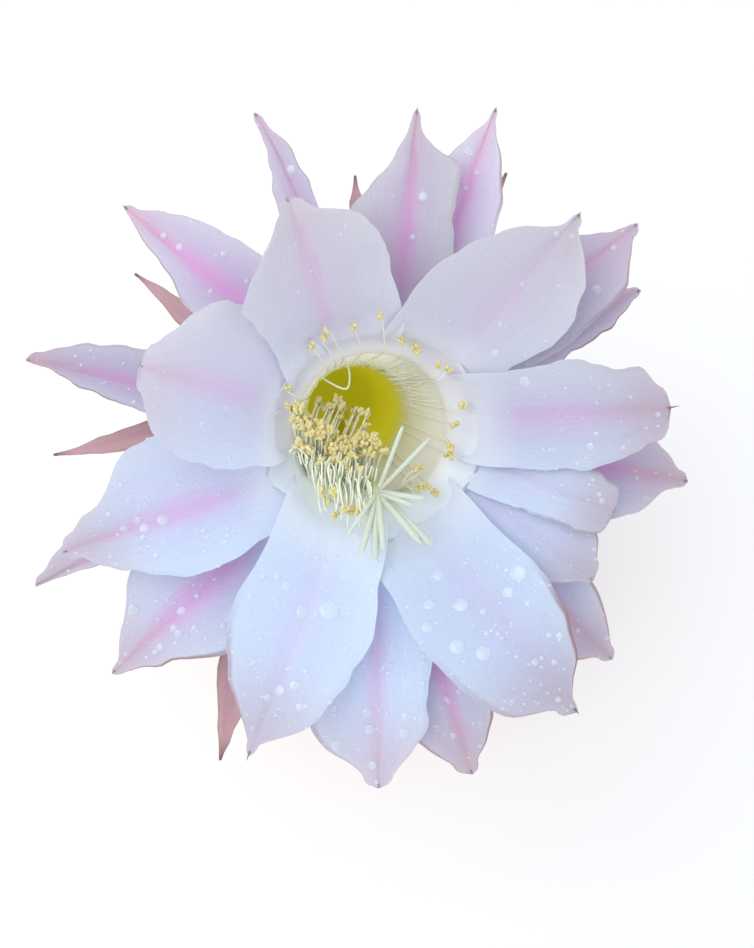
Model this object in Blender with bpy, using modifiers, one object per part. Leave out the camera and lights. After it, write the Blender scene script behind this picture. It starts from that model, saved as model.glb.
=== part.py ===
"""A potted Echinopsis oxygona with one open bloom, in metres, +Z up.

The origin is the centre of the clay pot's underside. The bloom leans out over -Y on its long tube, and its
face looks up and forward along FACING.
"""

import math
import random

import bmesh
import bpy
from mathutils import Matrix, Quaternion, Vector

MM = 0.001
GAP = 0.3 * MM  # left between pieces that touch on the real plant
MERGE = 0.5e-6  # points nearer than this are one point

# Clay pot
POT_HEIGHT = 90 * MM
POT_FOOT_RADIUS = 35 * MM
POT_BODY_RADIUS = 46 * MM
POT_RIM_RADIUS = 51 * MM
POT_RIM_HEIGHT = 17 * MM
POT_WALL = 4.5 * MM
POT_FLOOR = 6 * MM
POT_EASE = 1.2 * MM  # how far its edges are rounded off
POT_SIDES = 36
DRAIN_RADIUS = 3.5 * MM
DRAIN_CIRCLE = 19 * MM
DRAIN_COUNT = 3

# Soil
SOIL_LEVEL = 79 * MM
SOIL_HOLE_RADIUS = 24.3 * MM
SOIL_HOLE_DEPTH = 13 * MM
SOIL_BUMP = 0.9 * MM
SOIL_RINGS = 5

# Ribbed stem
RIBS = 13
STEPS_PER_RIB = 4
STEM_ROOT_RADIUS = 24 * MM
STEM_NECK_LEVEL = 81.5 * MM
STEM_WIDEST = 43 * MM
STEM_WIDEST_LEVEL = 119 * MM
STEM_TOP = 161 * MM
FURROW_SHARE = 0.2  # of the radius
AREOLES_PER_RIB = 4
AREOLE_RADIUS = 1.7 * MM
SPINE_RADIUS = 0.5 * MM
RADIAL_SPINES = 3
RADIAL_LENGTH = 9 * MM
CENTRAL_LENGTH = 13 * MM

# Bloom frame: the bloom's face is set out in a plane square to FACING through BLOOM_CENTRE
FACING_ELEVATION = math.radians(60)
RIGHT = Vector((1, 0, 0))
UP = Vector((0, math.sin(FACING_ELEVATION), math.cos(FACING_ELEVATION)))
FACING = RIGHT.cross(UP)
BLOOM_CENTRE = Vector((0, -106, 289)) * MM
SEEN_FROM = 400 * MM  # tips are set out as they look from this far in front of the bloom

# Flower tube: its mouth is tipped off FACING, down and to the right
MOUTH_TILT = math.radians(18)
MOUTH_TILT_TOWARDS = math.radians(315)
MOUTH_AXIS = (
    FACING * math.cos(MOUTH_TILT)
    + (RIGHT * math.cos(MOUTH_TILT_TOWARDS) + UP * math.sin(MOUTH_TILT_TOWARDS)) * math.sin(MOUTH_TILT)
)
MOUTH_RADIUS = 17.4 * MM  # outside
MOUTH_WALL = 1.0 * MM
MOUTH_TAPER = 0.3  # how much the radius shrinks for each unit of depth
FUNNEL_DEPTH = 22 * MM
TUBE_WALL = 1.5 * MM
TUBE_WAIST_RADIUS = 5.8 * MM
OVARY_RADIUS = 8.5 * MM
TUBE_SIDES = 16
TUBE_ROWS = 9
HOLLOW_FROM = 3  # the row of the tube where its hollow starts, above the solid ovary
TUBE_SCALES = 24
SCALE_LENGTHS = (6 * MM, 12 * MM)  # at the ovary and at the mouth
SCALE_WIDTHS = (2.6 * MM, 4.4 * MM)
LEAF_TURN = math.radians(137.5)  # from one scale to the next round the tube
BOSS_RADIUS = 6.0 * MM
BOSS_LEVEL = 147 * MM
BOSS_SLOPE = math.radians(54)  # the tube leaves the stem this far above the horizon
BOSS_STAND = 2.5 * MM

BLADE = 0.7 * MM  # thickness of tepals and scales
COLLAR_WALL = 1.4 * MM
COLLAR_SIDES = 22
LIP = 1 * MM
RANK_STEP = 0.9 * MM  # each rank of tepals starts this much further down the tube

# Each tepal: where its tip is seen (right, up) and how far it stands towards the viewer, its rank from the
# innermost out, its roll in degrees (the left edge comes forward), and the bearings it starts from and ends
# towards where those aren't its tip's bearing. Left and right are its half widths at the edge stations, on
# either side of its midrib looking from base to tip. One number is the greatest half width of a plain blade
# shaped like a lance. Lengths in millimetres.
EDGE_STATIONS = (0.3, 0.4, 0.5, 0.6, 0.7, 0.8, 0.85, 0.9, 0.95)
LANCE = (0.93, 0.98, 1, 0.92, 0.75, 0.53, 0.4, 0.27, 0.13)
TIP_HALF = 0.4
PETALS = {
    "upper_left": dict(
        tip=(-17.5, 47, 30), rank=0, roll=6, start=118,
        left=(12, 12.8, 14.2, 15.3, 11.8, 7.4, 5, 3.7, 2),
        right=(12.3, 13.1, 13.9, 14.7, 14.4, 12.5, 10.3, 5.7, 3),
    ),
    "right": dict(
        tip=(61.5, 4.2, 16), rank=0.2, roll=6, start=8,
        left=(9.5, 10, 10.4, 11.6, 10.2, 8.5, 8.2, 8, 4.3),
        right=(10.2, 10.8, 11.1, 11.2, 10.7, 9.1, 8.2, 6.9, 5.9),
    ),
    "lower_left": dict(
        tip=(-25.3, -67.2, 14), rank=0.4, start=245,
        left=(12, 13.7, 14.5, 13.4, 11.9, 10.1, 8.7, 4.9, 1.2),
        right=(12.3, 13, 14.2, 13.7, 11.8, 8.3, 6, 3.4, 1.2),
    ),
    "left": dict(
        tip=(-47.8, 12.5, 27), rank=1, roll=6, start=160,
        left=(13, 14.5, 15.4, 15.5, 15.2, 13.8, 12, 9.2, 5),
        right=(14.5, 15.6, 16.4, 16.6, 16, 12.7, 9.8, 7.2, 5),
    ),
    "lower_right": dict(
        tip=(42.2, -58.3, 11), rank=0.9, start=300,
        left=(10.5, 11.2, 12, 11.7, 11, 8.7, 7.2, 3.3, 1),
        right=(14.5, 15.8, 16.6, 16, 15.2, 13.8, 12.3, 8.9, 3.4),
    ),
    "upper_right": dict(
        tip=(42.8, 43.9, 21), rank=1.3, roll=8,
        left=(14, 15.6, 16, 14.2, 11.2, 7.5, 4.2, 1.7, 0.7),
        right=(9.8, 11.6, 13, 13.2, 12, 10.1, 8.4, 5.6, 1.9),
    ),
    "top": dict(
        tip=(9.3, 65.5, 14), rank=2,
        left=(12, 12.8, 13.2, 12, 7.7, 3.8, 2.6, 1.7, 0.9),
        right=(10, 9.8, 9.4, 9, 9.4, 9.6, 5.3, 2.2, 1.1),
    ),
    "left_low": dict(
        tip=(-63.5, -25.5, 13), rank=2.3,
        left=(10.3, 12, 12.4, 12.3, 10.5, 7.3, 6, 4.2, 2),
        right=(13, 15, 16.2, 16.2, 13.6, 6.9, 5.4, 4.6, 2.8),
    ),
    "bottom": dict(
        tip=(1.4, -73.7, 1), rank=2.4,
        left=(11, 12, 12, 10.5, 9.8, 10.2, 7.9, 5.7, 3.2),
        right=(13, 14.8, 15.4, 15, 14.3, 13.6, 11.1, 6.8, 3.3),
    ),
    "right_low": dict(
        tip=(50.0, -17.0, 9), rank=2.5, roll=4, start=345,
        left=(9, 9.2, 9.2, 8.6, 7.4, 6.4, 6.2, 5.8, 5),
        right=(7, 6.8, 6.6, 6.3, 6.2, 6.2, 6.3, 6.1, 5.6),
    ),
    "right_lower": dict(
        tip=(45.5, -31.0, 4), rank=3, roll=2, start=331,
        left=(8.5, 9, 9.5, 9.6, 9.5, 9.2, 8.6, 7, 3.7),
        right=(8, 8.8, 9.2, 9, 8.2, 6.6, 5.1, 3.5, 1.6),
    ),
}
OUTER_PETALS = {
    "left_bottom": dict(
        tip=(-53.4, -50.1, 1), rank=6.1,
        left=(10, 12.5, 14, 13.5, 10.6, 6.7, 5.3, 3.4, 1.6),
        right=(11, 13, 14.3, 14, 12.3, 7.5, 5.4, 3.6, 1.3),
    ),
    "top_right": dict(
        tip=(25.5, 65.9, 6), rank=5.2,
        left=(8.5, 9.2, 9.5, 9.2, 7.8, 5, 3.3, 1.7, 0.8),
        right=(8.5, 8.7, 8.3, 7.6, 7.1, 4.8, 3.2, 2, 0.8),
    ),
    "right_high": dict(
        tip=(54.6, 42.2, 5), rank=5.7,
        left=(7.5, 8, 8.4, 8.6, 7.5, 4.8, 3.2, 2, 1.1),
        right=(9.5, 10.3, 10.8, 10.5, 9.9, 9, 6.8, 3.8, 1.7),
    ),
    "bottom_right": dict(
        tip=(20.6, -70.7, -5), rank=5.8,
        left=(9, 10.2, 11.2, 11.3, 9.8, 8, 6.4, 4.3, 2.1),
        right=(10, 11.3, 12, 11.8, 11, 9.6, 8.1, 5.4, 3),
    ),
    "left_high": dict(
        tip=(-50.9, 45.7, 9), rank=6, start=134,
        left=(7.6, 7.8, 7.7, 7, 4.7, 3.3, 2.6, 1.7, 0.8),
        right=(9.5, 10, 9.9, 9.2, 7.6, 5.8, 4.5, 2.9, 1.4),
    ),
    "right_point": dict(
        tip=(64.9, -10.5, -4), rank=6.2,
        left=(9.5, 10.3, 10.5, 10.2, 9.4, 8, 6.6, 4.5, 2.4),
        right=(10, 11, 11.6, 11.6, 10.5, 8.5, 6.1, 3.7, 1.8),
    ),
    "left_point": dict(
        tip=(-71.1, 14.4, 3), rank=6.1,
        left=(5.5, 5.8, 5.5, 4.6, 3.9, 2.6, 1.8, 1, 0.6),
        right=(7, 7.4, 7.4, 7.2, 6.5, 5.3, 4.4, 3.3, 1.9),
    ),
    "top_left": dict(
        tip=(-24.1, 64.9, 9), rank=6.3, start=106, end=120,
        left=(5, 5, 5.1, 5, 3.7, 2.1, 1.5, 1.2, 0.9),
        right=(4, 3.7, 3.4, 3, 3.1, 2.9, 2.2, 1.5, 0.9),
    ),
    "left_tail": dict(
        tip=(-69.2, -31.9, -5), rank=7.2,
        left=(5.5, 6, 5.6, 4.6, 2.4, 1.2, 1, 0.6, 0.4),
        right=(8.5, 9, 9, 8.4, 7.4, 6, 4.9, 3.6, 2),
    ),
    "right_bottom": dict(
        tip=(49.4, -47.0, -7), rank=7.1,
        left=(9.5, 10.5, 11, 10.6, 9.4, 7.3, 6, 4, 2),
        right=(9.5, 10.5, 11, 10.8, 10, 8.6, 7, 4.7, 1.8),
    ),
    "right_shoulder": dict(
        tip=(55.2, 28.8, -3), rank=7,
        left=(9, 10.5, 11.3, 11, 9.5, 6.5, 4.8, 3, 1.4),
        right=(7, 7, 6.4, 5.3, 4.9, 4.2, 3.5, 2.2, 1),
    ),
    "bottom_hidden": dict(
        tip=(-13.0, -53.0, -9), rank=7.4,
        left=(8, 9, 9.8, 9.6, 8.8, 7, 5.8, 4.2, 2.3),
        right=(8, 9, 9.8, 9.6, 8.8, 7, 5.8, 4.2, 2.3),
    ),
}
SEPALS = {
    "foot": dict(tip=(-31.3, -67.6, -16), rank=9, start=234, end=256, left=5, right=5.6),
    "left_low": dict(tip=(-65.5, -4.9, -10), rank=9, start=174, left=2.4, right=3.4),
    "left_high": dict(tip=(-48.8, 32.3, -9), rank=9, start=154, left=3, right=2.4),
    "top": dict(tip=(-3.5, 52.5, -10), rank=9, left=3, right=3),
    "top_right": dict(tip=(27.6, 53.1, -12), rank=9, left=3.5, right=3.5),
    "right_high": dict(tip=(36.0, 13.0, -20), rank=9, left=4, right=4),
    "right_low": dict(tip=(44.0, -18.0, -20), rank=9, left=4, right=4),
    "bottom_right": dict(tip=(30.0, -42.0, -22), rank=9, left=4, right=4),
    "bottom": dict(tip=(-1.0, -55.0, -22), rank=9, left=4, right=4),
    "left_bottom": dict(tip=(-40.0, -34.0, -22), rank=9, left=4, right=4),
}
PETAL_ROWS = (0, 0.14, 0.3, 0.48, 0.64, 0.78, 0.88, 0.95, 1)
OUTER_ROWS = (0, 0.15, 0.32, 0.52, 0.68, 0.82, 0.93, 1)
SEPAL_ROWS = (0, 0.25, 0.55, 0.82, 1)

# Stamens, on a band that lines the throat
BAND_TOP = 1.5 * MM
BAND_FOOT = 6 * MM
BAND_WALL = 0.8 * MM
# Where each anther of the ring is seen, just clear of the petals: right, up and forward, in millimetres
RING_ANTHERS = (
    (-10.1, 17.7, 16.6),
    (-12.0, 16.1, 16.3),
    (-3.7, 20.6, 16.7),
    (-8.7, 19.8, 18.2),
    (2.1, 22.7, 19),
    (6.8, 18.1, 10.8),
    (9.5, 16.1, 8),
    (14.0, 12.8, 5.4),
    (15.3, 12.0, 4.9),
    (18.1, 4.5, 2.8),
    (17.3, 1.0, 1.8),
    (15.7, -3.1, 0.2),
    (16.1, -5.6, 0),
    (12.8, -12.2, 0),
    (9.7, -12.2, -0.5),
    (-17.5, 7.8, 12.4),
    (-16.1, 3.9, 9.5),
)
RING_BEND = 5 * MM  # where their filaments turn outwards, above the mouth
FILAMENT_RADIUS = 0.38 * MM
ANTHER_RADIUS = 0.9 * MM
ANTHER_LENGTH = 2.6 * MM
STAMEN_SIDES = 3
# The stamens that stand in the throat, in groups. Each pair holds the first one's value and the last one's:
# the bearings and depths of their feet, and where their anthers are seen (right, up and forward). Spread is
# how far an anther may stray up or down from its place. Bearings in degrees, lengths in millimetres.
STAMEN_GROUPS = {
    "left": dict(
        count=10,
        bearings=(188, 232),
        depths=(3, 4.6),
        right=(-16.5, -5),
        up=(4, -6),
        forward=(10, 6),
        spread=1.8,
    ),
    "middle": dict(
        count=8,
        bearings=(232, 252),
        depths=(3.4, 4.2),
        right=(-5.5, 1),
        up=(-5.5, -2),
        forward=(6, 5),
        spread=1.8,
    ),
    "low": dict(
        count=6,
        bearings=(222, 254),
        depths=(3, 3),
        right=(-10, -1.5),
        up=(-12, -15),
        forward=(7, 8),
        spread=2,
    ),
    "deep": dict(
        count=6,
        bearings=(184, 250),
        depths=(5, 5),
        right=(-11, -2),
        up=(5.5, 1),
        forward=(-6, -5),
        spread=2,
    ),
}

# Pistil
STYLE_RADIUS = 1.2 * MM
STYLE_SIDES = 6
LOBE_RADIUS = 0.75 * MM
STIGMA = (1.2, -13, 9)  # where the style ends: right, up and forward, in millimetres
# How far each lobe reaches from the style's end, in millimetres (right, up, forward)
STIGMA_LOBES = (
    (5.0, 13.2, 3.0),
    (10.3, 10.7, 3.0),
    (9.2, -1.2, 5.0),
    (10.7, -10.3, 1.5),
    (-0.6, -13.6, 1.0),
    (-3.6, -12.8, 2.0),
    (-6.5, -9.5, 4.0),
    (-5.0, 3.0, 7.0),
)


def clear_scene():
    for old in list(bpy.data.objects):
        bpy.data.objects.remove(old, do_unlink=True)


def collection(name):
    made = bpy.data.collections.new(name)
    bpy.context.scene.collection.children.link(made)
    return made


def material(name, colour, roughness):
    made = bpy.data.materials.new(name)
    made.use_nodes = True
    shader = made.node_tree.nodes["Principled BSDF"]
    shader.inputs["Base Color"].default_value = (*colour, 1)
    shader.inputs["Roughness"].default_value = roughness
    shader.inputs["Metallic"].default_value = 0
    return made


def mesh_object(name, bm, group):
    mesh = bpy.data.meshes.new(name)
    bm.to_mesh(mesh)
    bm.free()
    made = bpy.data.objects.new(name, mesh)
    group.objects.link(made)
    return made


def evaluated_mesh(source):
    """The object's mesh with its modifiers applied, in world space, its doubles merged."""
    bpy.context.view_layer.update()
    graph = bpy.context.evaluated_depsgraph_get()
    mesh = bpy.data.meshes.new_from_object(source.evaluated_get(graph))
    mesh.transform(source.matrix_world)
    bm = bmesh.new()
    bm.from_mesh(mesh)
    bmesh.ops.remove_doubles(bm, verts=bm.verts, dist=MERGE)
    bm.to_mesh(mesh)
    bm.free()
    return mesh


def baked(source, group):
    """The object with its modifiers applied, as a plain mesh object of the same name."""
    name = source.name
    mesh = evaluated_mesh(source)
    bpy.data.objects.remove(source)
    made = bpy.data.objects.new(name, mesh)
    group.objects.link(made)
    return made


def turned(name, profile, steps, group):
    """A profile of (radius, height) points turned about Z. It runs down its outer side."""
    bm = bmesh.new()
    points = [bm.verts.new((radius, 0, height)) for radius, height in profile]
    for first, second in zip(points, points[1:]):
        bm.edges.new((first, second))
    made = mesh_object(name, bm, group)
    screw = made.modifiers.new("turn", "SCREW")
    screw.steps = screw.render_steps = steps
    screw.use_merge_vertices = True
    screw.merge_threshold = MERGE
    return made


def loft(name, rings, group):
    """A closed skin over rings of the same number of points, with the first and last ring filled."""
    bm = bmesh.new()
    made = [[bm.verts.new(point) for point in ring] for ring in rings]
    count = len(rings[0])
    for low, high in zip(made, made[1:]):
        for i in range(count):
            j = (i + 1) % count
            bm.faces.new((low[i], low[j], high[j], high[i]))
    bm.faces.new(made[0][::-1])
    bm.faces.new(made[-1])
    bmesh.ops.recalc_face_normals(bm, faces=bm.faces)
    return mesh_object(name, bm, group)


def closed_band(name, rings, group):
    """A ring-shaped body whose section is the closed line through the same point of each ring."""
    bm = bmesh.new()
    made = [[bm.verts.new(point) for point in ring] for ring in rings]
    count = len(rings[0])
    for low, high in zip(made, made[1:] + made[:1]):
        for i in range(count):
            j = (i + 1) % count
            bm.faces.new((low[i], low[j], high[j], high[i]))
    bmesh.ops.recalc_face_normals(bm, faces=bm.faces)
    return mesh_object(name, bm, group)


def circle(centre, axis, radius, sides, turn=0.0):
    """Points round a circle square to axis, starting from the side that looks most to the right."""
    across = (RIGHT - axis * RIGHT.dot(axis)).normalized()
    over = axis.cross(across)
    angles = [turn + math.tau * i / sides for i in range(sides)]
    return [centre + (across * math.cos(angle) + over * math.sin(angle)) * radius for angle in angles]


def fuse(base, repeats, group):
    """Joins the objects of the collection repeats to base, and removes them."""
    union = base.modifiers.new("fuse", "BOOLEAN")
    union.operation = "UNION"
    union.operand_type = "COLLECTION"
    union.collection = repeats
    union.solver = "MANIFOLD"
    made = baked(base, group)
    for used in list(repeats.objects):
        bpy.data.objects.remove(used)
    bpy.data.collections.remove(repeats)
    return made


def finish(made, paint):
    made.data.materials.clear()
    made.data.materials.append(paint)
    made.data.shade_smooth()
    made.data.set_sharp_from_angle(angle=math.radians(40))


def mix(start, end, share):
    return start + (end - start) * share


def smooth(share):
    share = min(1.0, max(0.0, share))
    return share * share * (3 - 2 * share)


def bezier(points, s):
    a, b, c, d = points
    r = 1 - s
    return a * r**3 + b * 3 * r * r * s + c * 3 * r * s * s + d * s**3


def bezier_slope(points, s):
    a, b, c, d = points
    r = 1 - s
    return ((b - a) * r * r + (c - b) * 2 * r * s + (d - c) * s * s).normalized()


def face_point(right, up, forward):
    """A point of the bloom, given where it is seen in the face's plane and how far forward it stands."""
    drawn_in = 1 - forward * MM / SEEN_FROM
    return BLOOM_CENTRE + (RIGHT * right + UP * up) * drawn_in * MM + FACING * forward * MM


def ring_direction(bearing):
    """Outwards from the mouth's axis, at a bearing measured in the face's plane."""
    out = RIGHT * math.cos(bearing) + UP * math.sin(bearing)
    return (out - MOUTH_AXIS * out.dot(MOUTH_AXIS)).normalized()


def mouth_point(radius, bearing, depth):
    return BLOOM_CENTRE + ring_direction(bearing) * radius - MOUTH_AXIS * depth


def tube_outside(depth):
    return MOUTH_RADIUS - MOUTH_TAPER * depth


def tube_inside(depth):
    return tube_outside(depth) - mix(MOUTH_WALL, TUBE_WALL, depth / FUNNEL_DEPTH)


# Clay pot: a turned shell with a rim band, and drain holes through its floor
def pot_inner_radius(level):
    top = POT_RIM_RADIUS - POT_WALL * 1.6
    foot = POT_FOOT_RADIUS - POT_WALL
    return mix(foot, top, (level - POT_FLOOR) / (POT_HEIGHT - POT_FLOOR))


def make_pot(group, cutters):
    band = POT_HEIGHT - POT_RIM_HEIGHT
    profile = [
        (0, POT_FLOOR),
        (pot_inner_radius(POT_FLOOR) - POT_EASE, POT_FLOOR),
        (pot_inner_radius(POT_FLOOR + POT_EASE), POT_FLOOR + POT_EASE),
        (pot_inner_radius(POT_HEIGHT - POT_EASE), POT_HEIGHT - POT_EASE),
        (pot_inner_radius(POT_HEIGHT) + POT_EASE, POT_HEIGHT),
        (POT_RIM_RADIUS - POT_EASE, POT_HEIGHT),
        (POT_RIM_RADIUS, POT_HEIGHT - POT_EASE),
        (POT_RIM_RADIUS - POT_EASE * 0.4, band + POT_EASE),
        (POT_RIM_RADIUS - POT_EASE * 1.3, band),
        (POT_BODY_RADIUS, band - POT_EASE * 0.5),
        (POT_FOOT_RADIUS + POT_EASE * 0.3, POT_EASE),
        (POT_FOOT_RADIUS - POT_EASE * 0.8, 0),
        (0, 0),
    ]
    pot = turned("pot", profile, POT_SIDES, group)
    for i in range(DRAIN_COUNT):
        bearing = math.tau * i / DRAIN_COUNT + math.radians(90)
        spot = (DRAIN_CIRCLE * math.cos(bearing), DRAIN_CIRCLE * math.sin(bearing), POT_FLOOR / 2)
        through = POT_FLOOR * 2
        bpy.ops.mesh.primitive_cylinder_add(vertices=16, radius=DRAIN_RADIUS, depth=through, location=spot)
        drill = bpy.context.object
        drill.name = f"drain_drill_{i}"
        for owner in list(drill.users_collection):
            owner.objects.unlink(drill)
        cutters.objects.link(drill)
        drill.hide_render = True
        drill.display_type = "WIRE"
    holes = pot.modifiers.new("drain_holes", "BOOLEAN")
    holes.operation = "DIFFERENCE"
    holes.operand_type = "COLLECTION"
    holes.collection = cutters
    finish(baked(pot, group), material("clay", (0.56, 0.24, 0.13), 0.85))


# Soil: fills the pot, with a plain hole for the stem's root and a lumpy top
def make_soil(group):
    floor = POT_FLOOR + GAP
    edge = pot_inner_radius(SOIL_LEVEL) - GAP
    profile = [(0, SOIL_LEVEL - SOIL_HOLE_DEPTH), (SOIL_HOLE_RADIUS, SOIL_LEVEL - SOIL_HOLE_DEPTH)]
    profile += [(mix(SOIL_HOLE_RADIUS, edge, i / SOIL_RINGS), SOIL_LEVEL) for i in range(SOIL_RINGS + 1)]
    profile += [(pot_inner_radius(floor + 2 * MM) - 2 * GAP, floor + 2 * MM)]
    profile += [(pot_inner_radius(floor) - 2 * MM, floor), (0, floor)]
    soil = baked(turned("soil", profile, POT_SIDES, group), group)
    for vertex in soil.data.vertices:
        x, y, z = vertex.co
        if abs(z - SOIL_LEVEL) < MERGE:
            lumps = math.sin(310 * x + 1) * math.cos(270 * y) + 0.6 * math.sin(720 * x + 540 * y)
            vertex.co.z += SOIL_BUMP * lumps
    finish(soil, material("potting_soil", (0.09, 0.06, 0.045), 0.95))


# Ribbed stem: a turned body whose ribs are raised by a formula, with its areoles and spines fused on
def stem_radius(level):
    """The stem's radius along its rib crests."""
    if level > STEM_WIDEST_LEVEL:
        rise = (level - STEM_WIDEST_LEVEL) / (STEM_TOP - STEM_WIDEST_LEVEL)
        return STEM_WIDEST * math.sqrt(max(0.0, 1 - rise**2.3))
    drop = (STEM_WIDEST_LEVEL - level) / (STEM_WIDEST_LEVEL - STEM_NECK_LEVEL)
    return mix(STEM_ROOT_RADIUS, STEM_WIDEST, math.sqrt(max(0.0, 1 - min(1.0, drop) ** 2.2)))


def rib_height(bearing):
    """1 on a crest and 0 in a furrow. One crest faces -Y."""
    return abs(math.cos((bearing + math.pi / 2) * RIBS / 2)) ** 0.8


def make_stem_body(group):
    root = SOIL_LEVEL - SOIL_HOLE_DEPTH + GAP
    crown = [STEM_TOP - 2.2 * MM, STEM_TOP - 0.6 * MM]
    levels = [157, 151, 142, 131, 119, 107, 97, 89, 84]
    profile = [(0, crown[0]), (6 * MM, crown[0] + 0.4 * MM), (13 * MM, crown[1])]
    profile += [(stem_radius(level * MM), level * MM) for level in levels]
    profile += [(STEM_ROOT_RADIUS, STEM_NECK_LEVEL), (STEM_ROOT_RADIUS, root + 2 * MM)]
    profile += [(STEM_ROOT_RADIUS - 2 * MM, root), (0, root)]
    body = turned("stem", profile, RIBS * STEPS_PER_RIB, group)
    body.rotation_euler.z = -math.pi / 2
    body = baked(body, group)
    for vertex in body.data.vertices:
        x, y, z = vertex.co
        ribbing = smooth((z - SOIL_LEVEL - 2 * MM) / (14 * MM))
        pinch = 1 - FURROW_SHARE * ribbing * (1 - rib_height(math.atan2(y, x)))
        vertex.co.x *= pinch
        vertex.co.y *= pinch
    return body


def areole_spots():
    """Each areole's bearing and level, stepping round the ribs as they grow."""
    low, high = SOIL_LEVEL + 15 * MM, STEM_TOP - 8 * MM
    for rib in range(RIBS):
        bearing = math.tau * rib / RIBS - math.pi / 2
        for i in range(AREOLES_PER_RIB):
            share = (i + (rib * 5 / RIBS) % 1) / AREOLES_PER_RIB
            yield bearing, mix(low, high, share**0.86)


def crest_frame(bearing, level):
    """A rib crest's point there and the way that it faces."""
    step = 0.5 * MM
    radius = stem_radius(level)
    slope = (stem_radius(level + step) - stem_radius(level - step)) / (2 * step)
    out = Vector((math.cos(bearing), math.sin(bearing), 0))
    return out * radius + Vector((0, 0, level)), (out - Vector((0, 0, slope))).normalized()


def spine(name, root, direction, length, group):
    bm = bmesh.new()
    bmesh.ops.create_cone(bm, cap_ends=True, segments=3, radius1=SPINE_RADIUS, radius2=0, depth=length)
    made = mesh_object(name, bm, group)
    turn = Vector((0, 0, 1)).rotation_difference(direction)
    made.data.transform(turn.to_matrix().to_4x4())
    made.data.transform(Matrix.Translation(root + direction * (length / 2)))
    return made


def tube_base():
    """Where the flower tube leaves its boss, and the way that it leaves."""
    spot = Vector((0, -stem_radius(BOSS_LEVEL), BOSS_LEVEL))
    way = Vector((0, -math.cos(BOSS_SLOPE), math.sin(BOSS_SLOPE)))
    return spot + way * BOSS_STAND, way


def make_stem(group):
    draw = random.Random(7)
    repeats = collection("stem_repeats")
    base, way = tube_base()
    rings = [circle(base - way * 7 * MM, way, BOSS_RADIUS, 16), circle(base, way, BOSS_RADIUS, 16)]
    loft("boss", rings, repeats)
    number = 0
    for bearing, level in areole_spots():
        spot, normal = crest_frame(bearing, level)
        if (spot - base).length < BOSS_RADIUS + 5 * MM:
            continue
        number += 1
        pad = [
            circle(spot - normal * 1.2 * MM, normal, AREOLE_RADIUS, 5),
            circle(spot + normal * 0.7 * MM, normal, AREOLE_RADIUS * 0.7, 5),
        ]
        loft(f"areole_{number}", pad, repeats)
        along = (Vector((0, 0, 1)) - normal * normal.z).normalized()
        root = spot - normal * 2 * MM
        spine(f"central_{number}", root, normal, CENTRAL_LENGTH * draw.uniform(0.8, 1.1), repeats)
        for i in range(RADIAL_SPINES):
            round_angle = math.tau * (i + 0.5) / RADIAL_SPINES + draw.uniform(-0.2, 0.2)
            lean = Quaternion(normal, round_angle) @ along
            direction = (normal * 0.75 + lean).normalized()
            spine(f"radial_{number}_{i}", root, direction, RADIAL_LENGTH * draw.uniform(0.8, 1.15), repeats)
    finish(fuse(make_stem_body(group), repeats, group), material("cactus_skin", (0.10, 0.22, 0.09), 0.6))


# Flower tube: a hollow tube that bends up from the stem to the open mouth, with scales along it
def tube_path():
    """The tube's centre line as one curve, from its base to the bottom of the mouth's funnel."""
    base, way = tube_base()
    start = base + way * GAP
    end = BLOOM_CENTRE - MOUTH_AXIS * FUNNEL_DEPTH
    reach = (end - start).length
    return start, start + way * reach * 0.42, end - MOUTH_AXIS * reach * 0.38, end


def tube_stations(count):
    path = tube_path()
    for i in range(count + 1):
        s = i / count
        yield s, bezier(path, s), bezier_slope(path, s)


def tube_radius(s):
    """The tube's outside radius along its path: round at the ovary, slim, then widening to the funnel."""
    ovary = OVARY_RADIUS * math.exp(-(((s - 0.09) / 0.13) ** 2))
    widening = mix(TUBE_WAIST_RADIUS, tube_outside(FUNNEL_DEPTH), smooth(s) ** 1.3)
    return max(ovary, widening) if s > 0.03 else OVARY_RADIUS * 0.8


def tube_scale(name, s, turn, group):
    """A pointed scale that lies along the tube, its root sunk in and its tip lifted."""
    centre, way = bezier(tube_path(), s), bezier_slope(tube_path(), s)
    across = circle(Vector(), way, 1, 4, turn)[0]
    side = way.cross(across)
    thick = across * BLADE * 0.5
    rings = []
    for share, half, lift in ((0, 1, -0.9 * MM), (0.5, 0.9, 0.4 * MM), (1, 0.15, 1.4 * MM)):
        middle = centre + way * mix(*SCALE_LENGTHS, s) * share + across * (tube_radius(s) + lift)
        reach = side * mix(*SCALE_WIDTHS, s) * half * 0.5
        under = [middle - reach - thick, middle + reach - thick]
        over = [middle + reach + thick, middle - reach + thick]
        rings.append(under + over)
    loft(name, rings, group)


def make_flower_tube(group):
    rings = []
    stations = list(tube_stations(TUBE_ROWS))
    for s, centre, way in stations:
        rings.append(circle(centre, way, tube_radius(s), TUBE_SIDES))
    for depth in (14 * MM, 7 * MM, 0):
        centre = BLOOM_CENTRE - MOUTH_AXIS * depth
        rings.append(circle(centre, MOUTH_AXIS, tube_outside(depth), TUBE_SIDES))
    for depth in (0, 7 * MM, 14 * MM):
        centre = BLOOM_CENTRE - MOUTH_AXIS * depth
        rings.append(circle(centre, MOUTH_AXIS, tube_inside(depth), TUBE_SIDES))
    for s, centre, way in reversed(stations[HOLLOW_FROM:]):
        rings.append(circle(centre, way, tube_radius(s) - TUBE_WALL, TUBE_SIDES))
    tube = loft("flower_tube", rings, group)
    repeats = collection("tube_repeats")
    for i in range(TUBE_SCALES):
        tube_scale(f"scale_{i}", 0.06 + 0.86 * i / TUBE_SCALES, i * LEAF_TURN, repeats)
    finish(fuse(tube, repeats, group), material("tube_skin", (0.30, 0.34, 0.18), 0.6))


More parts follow.
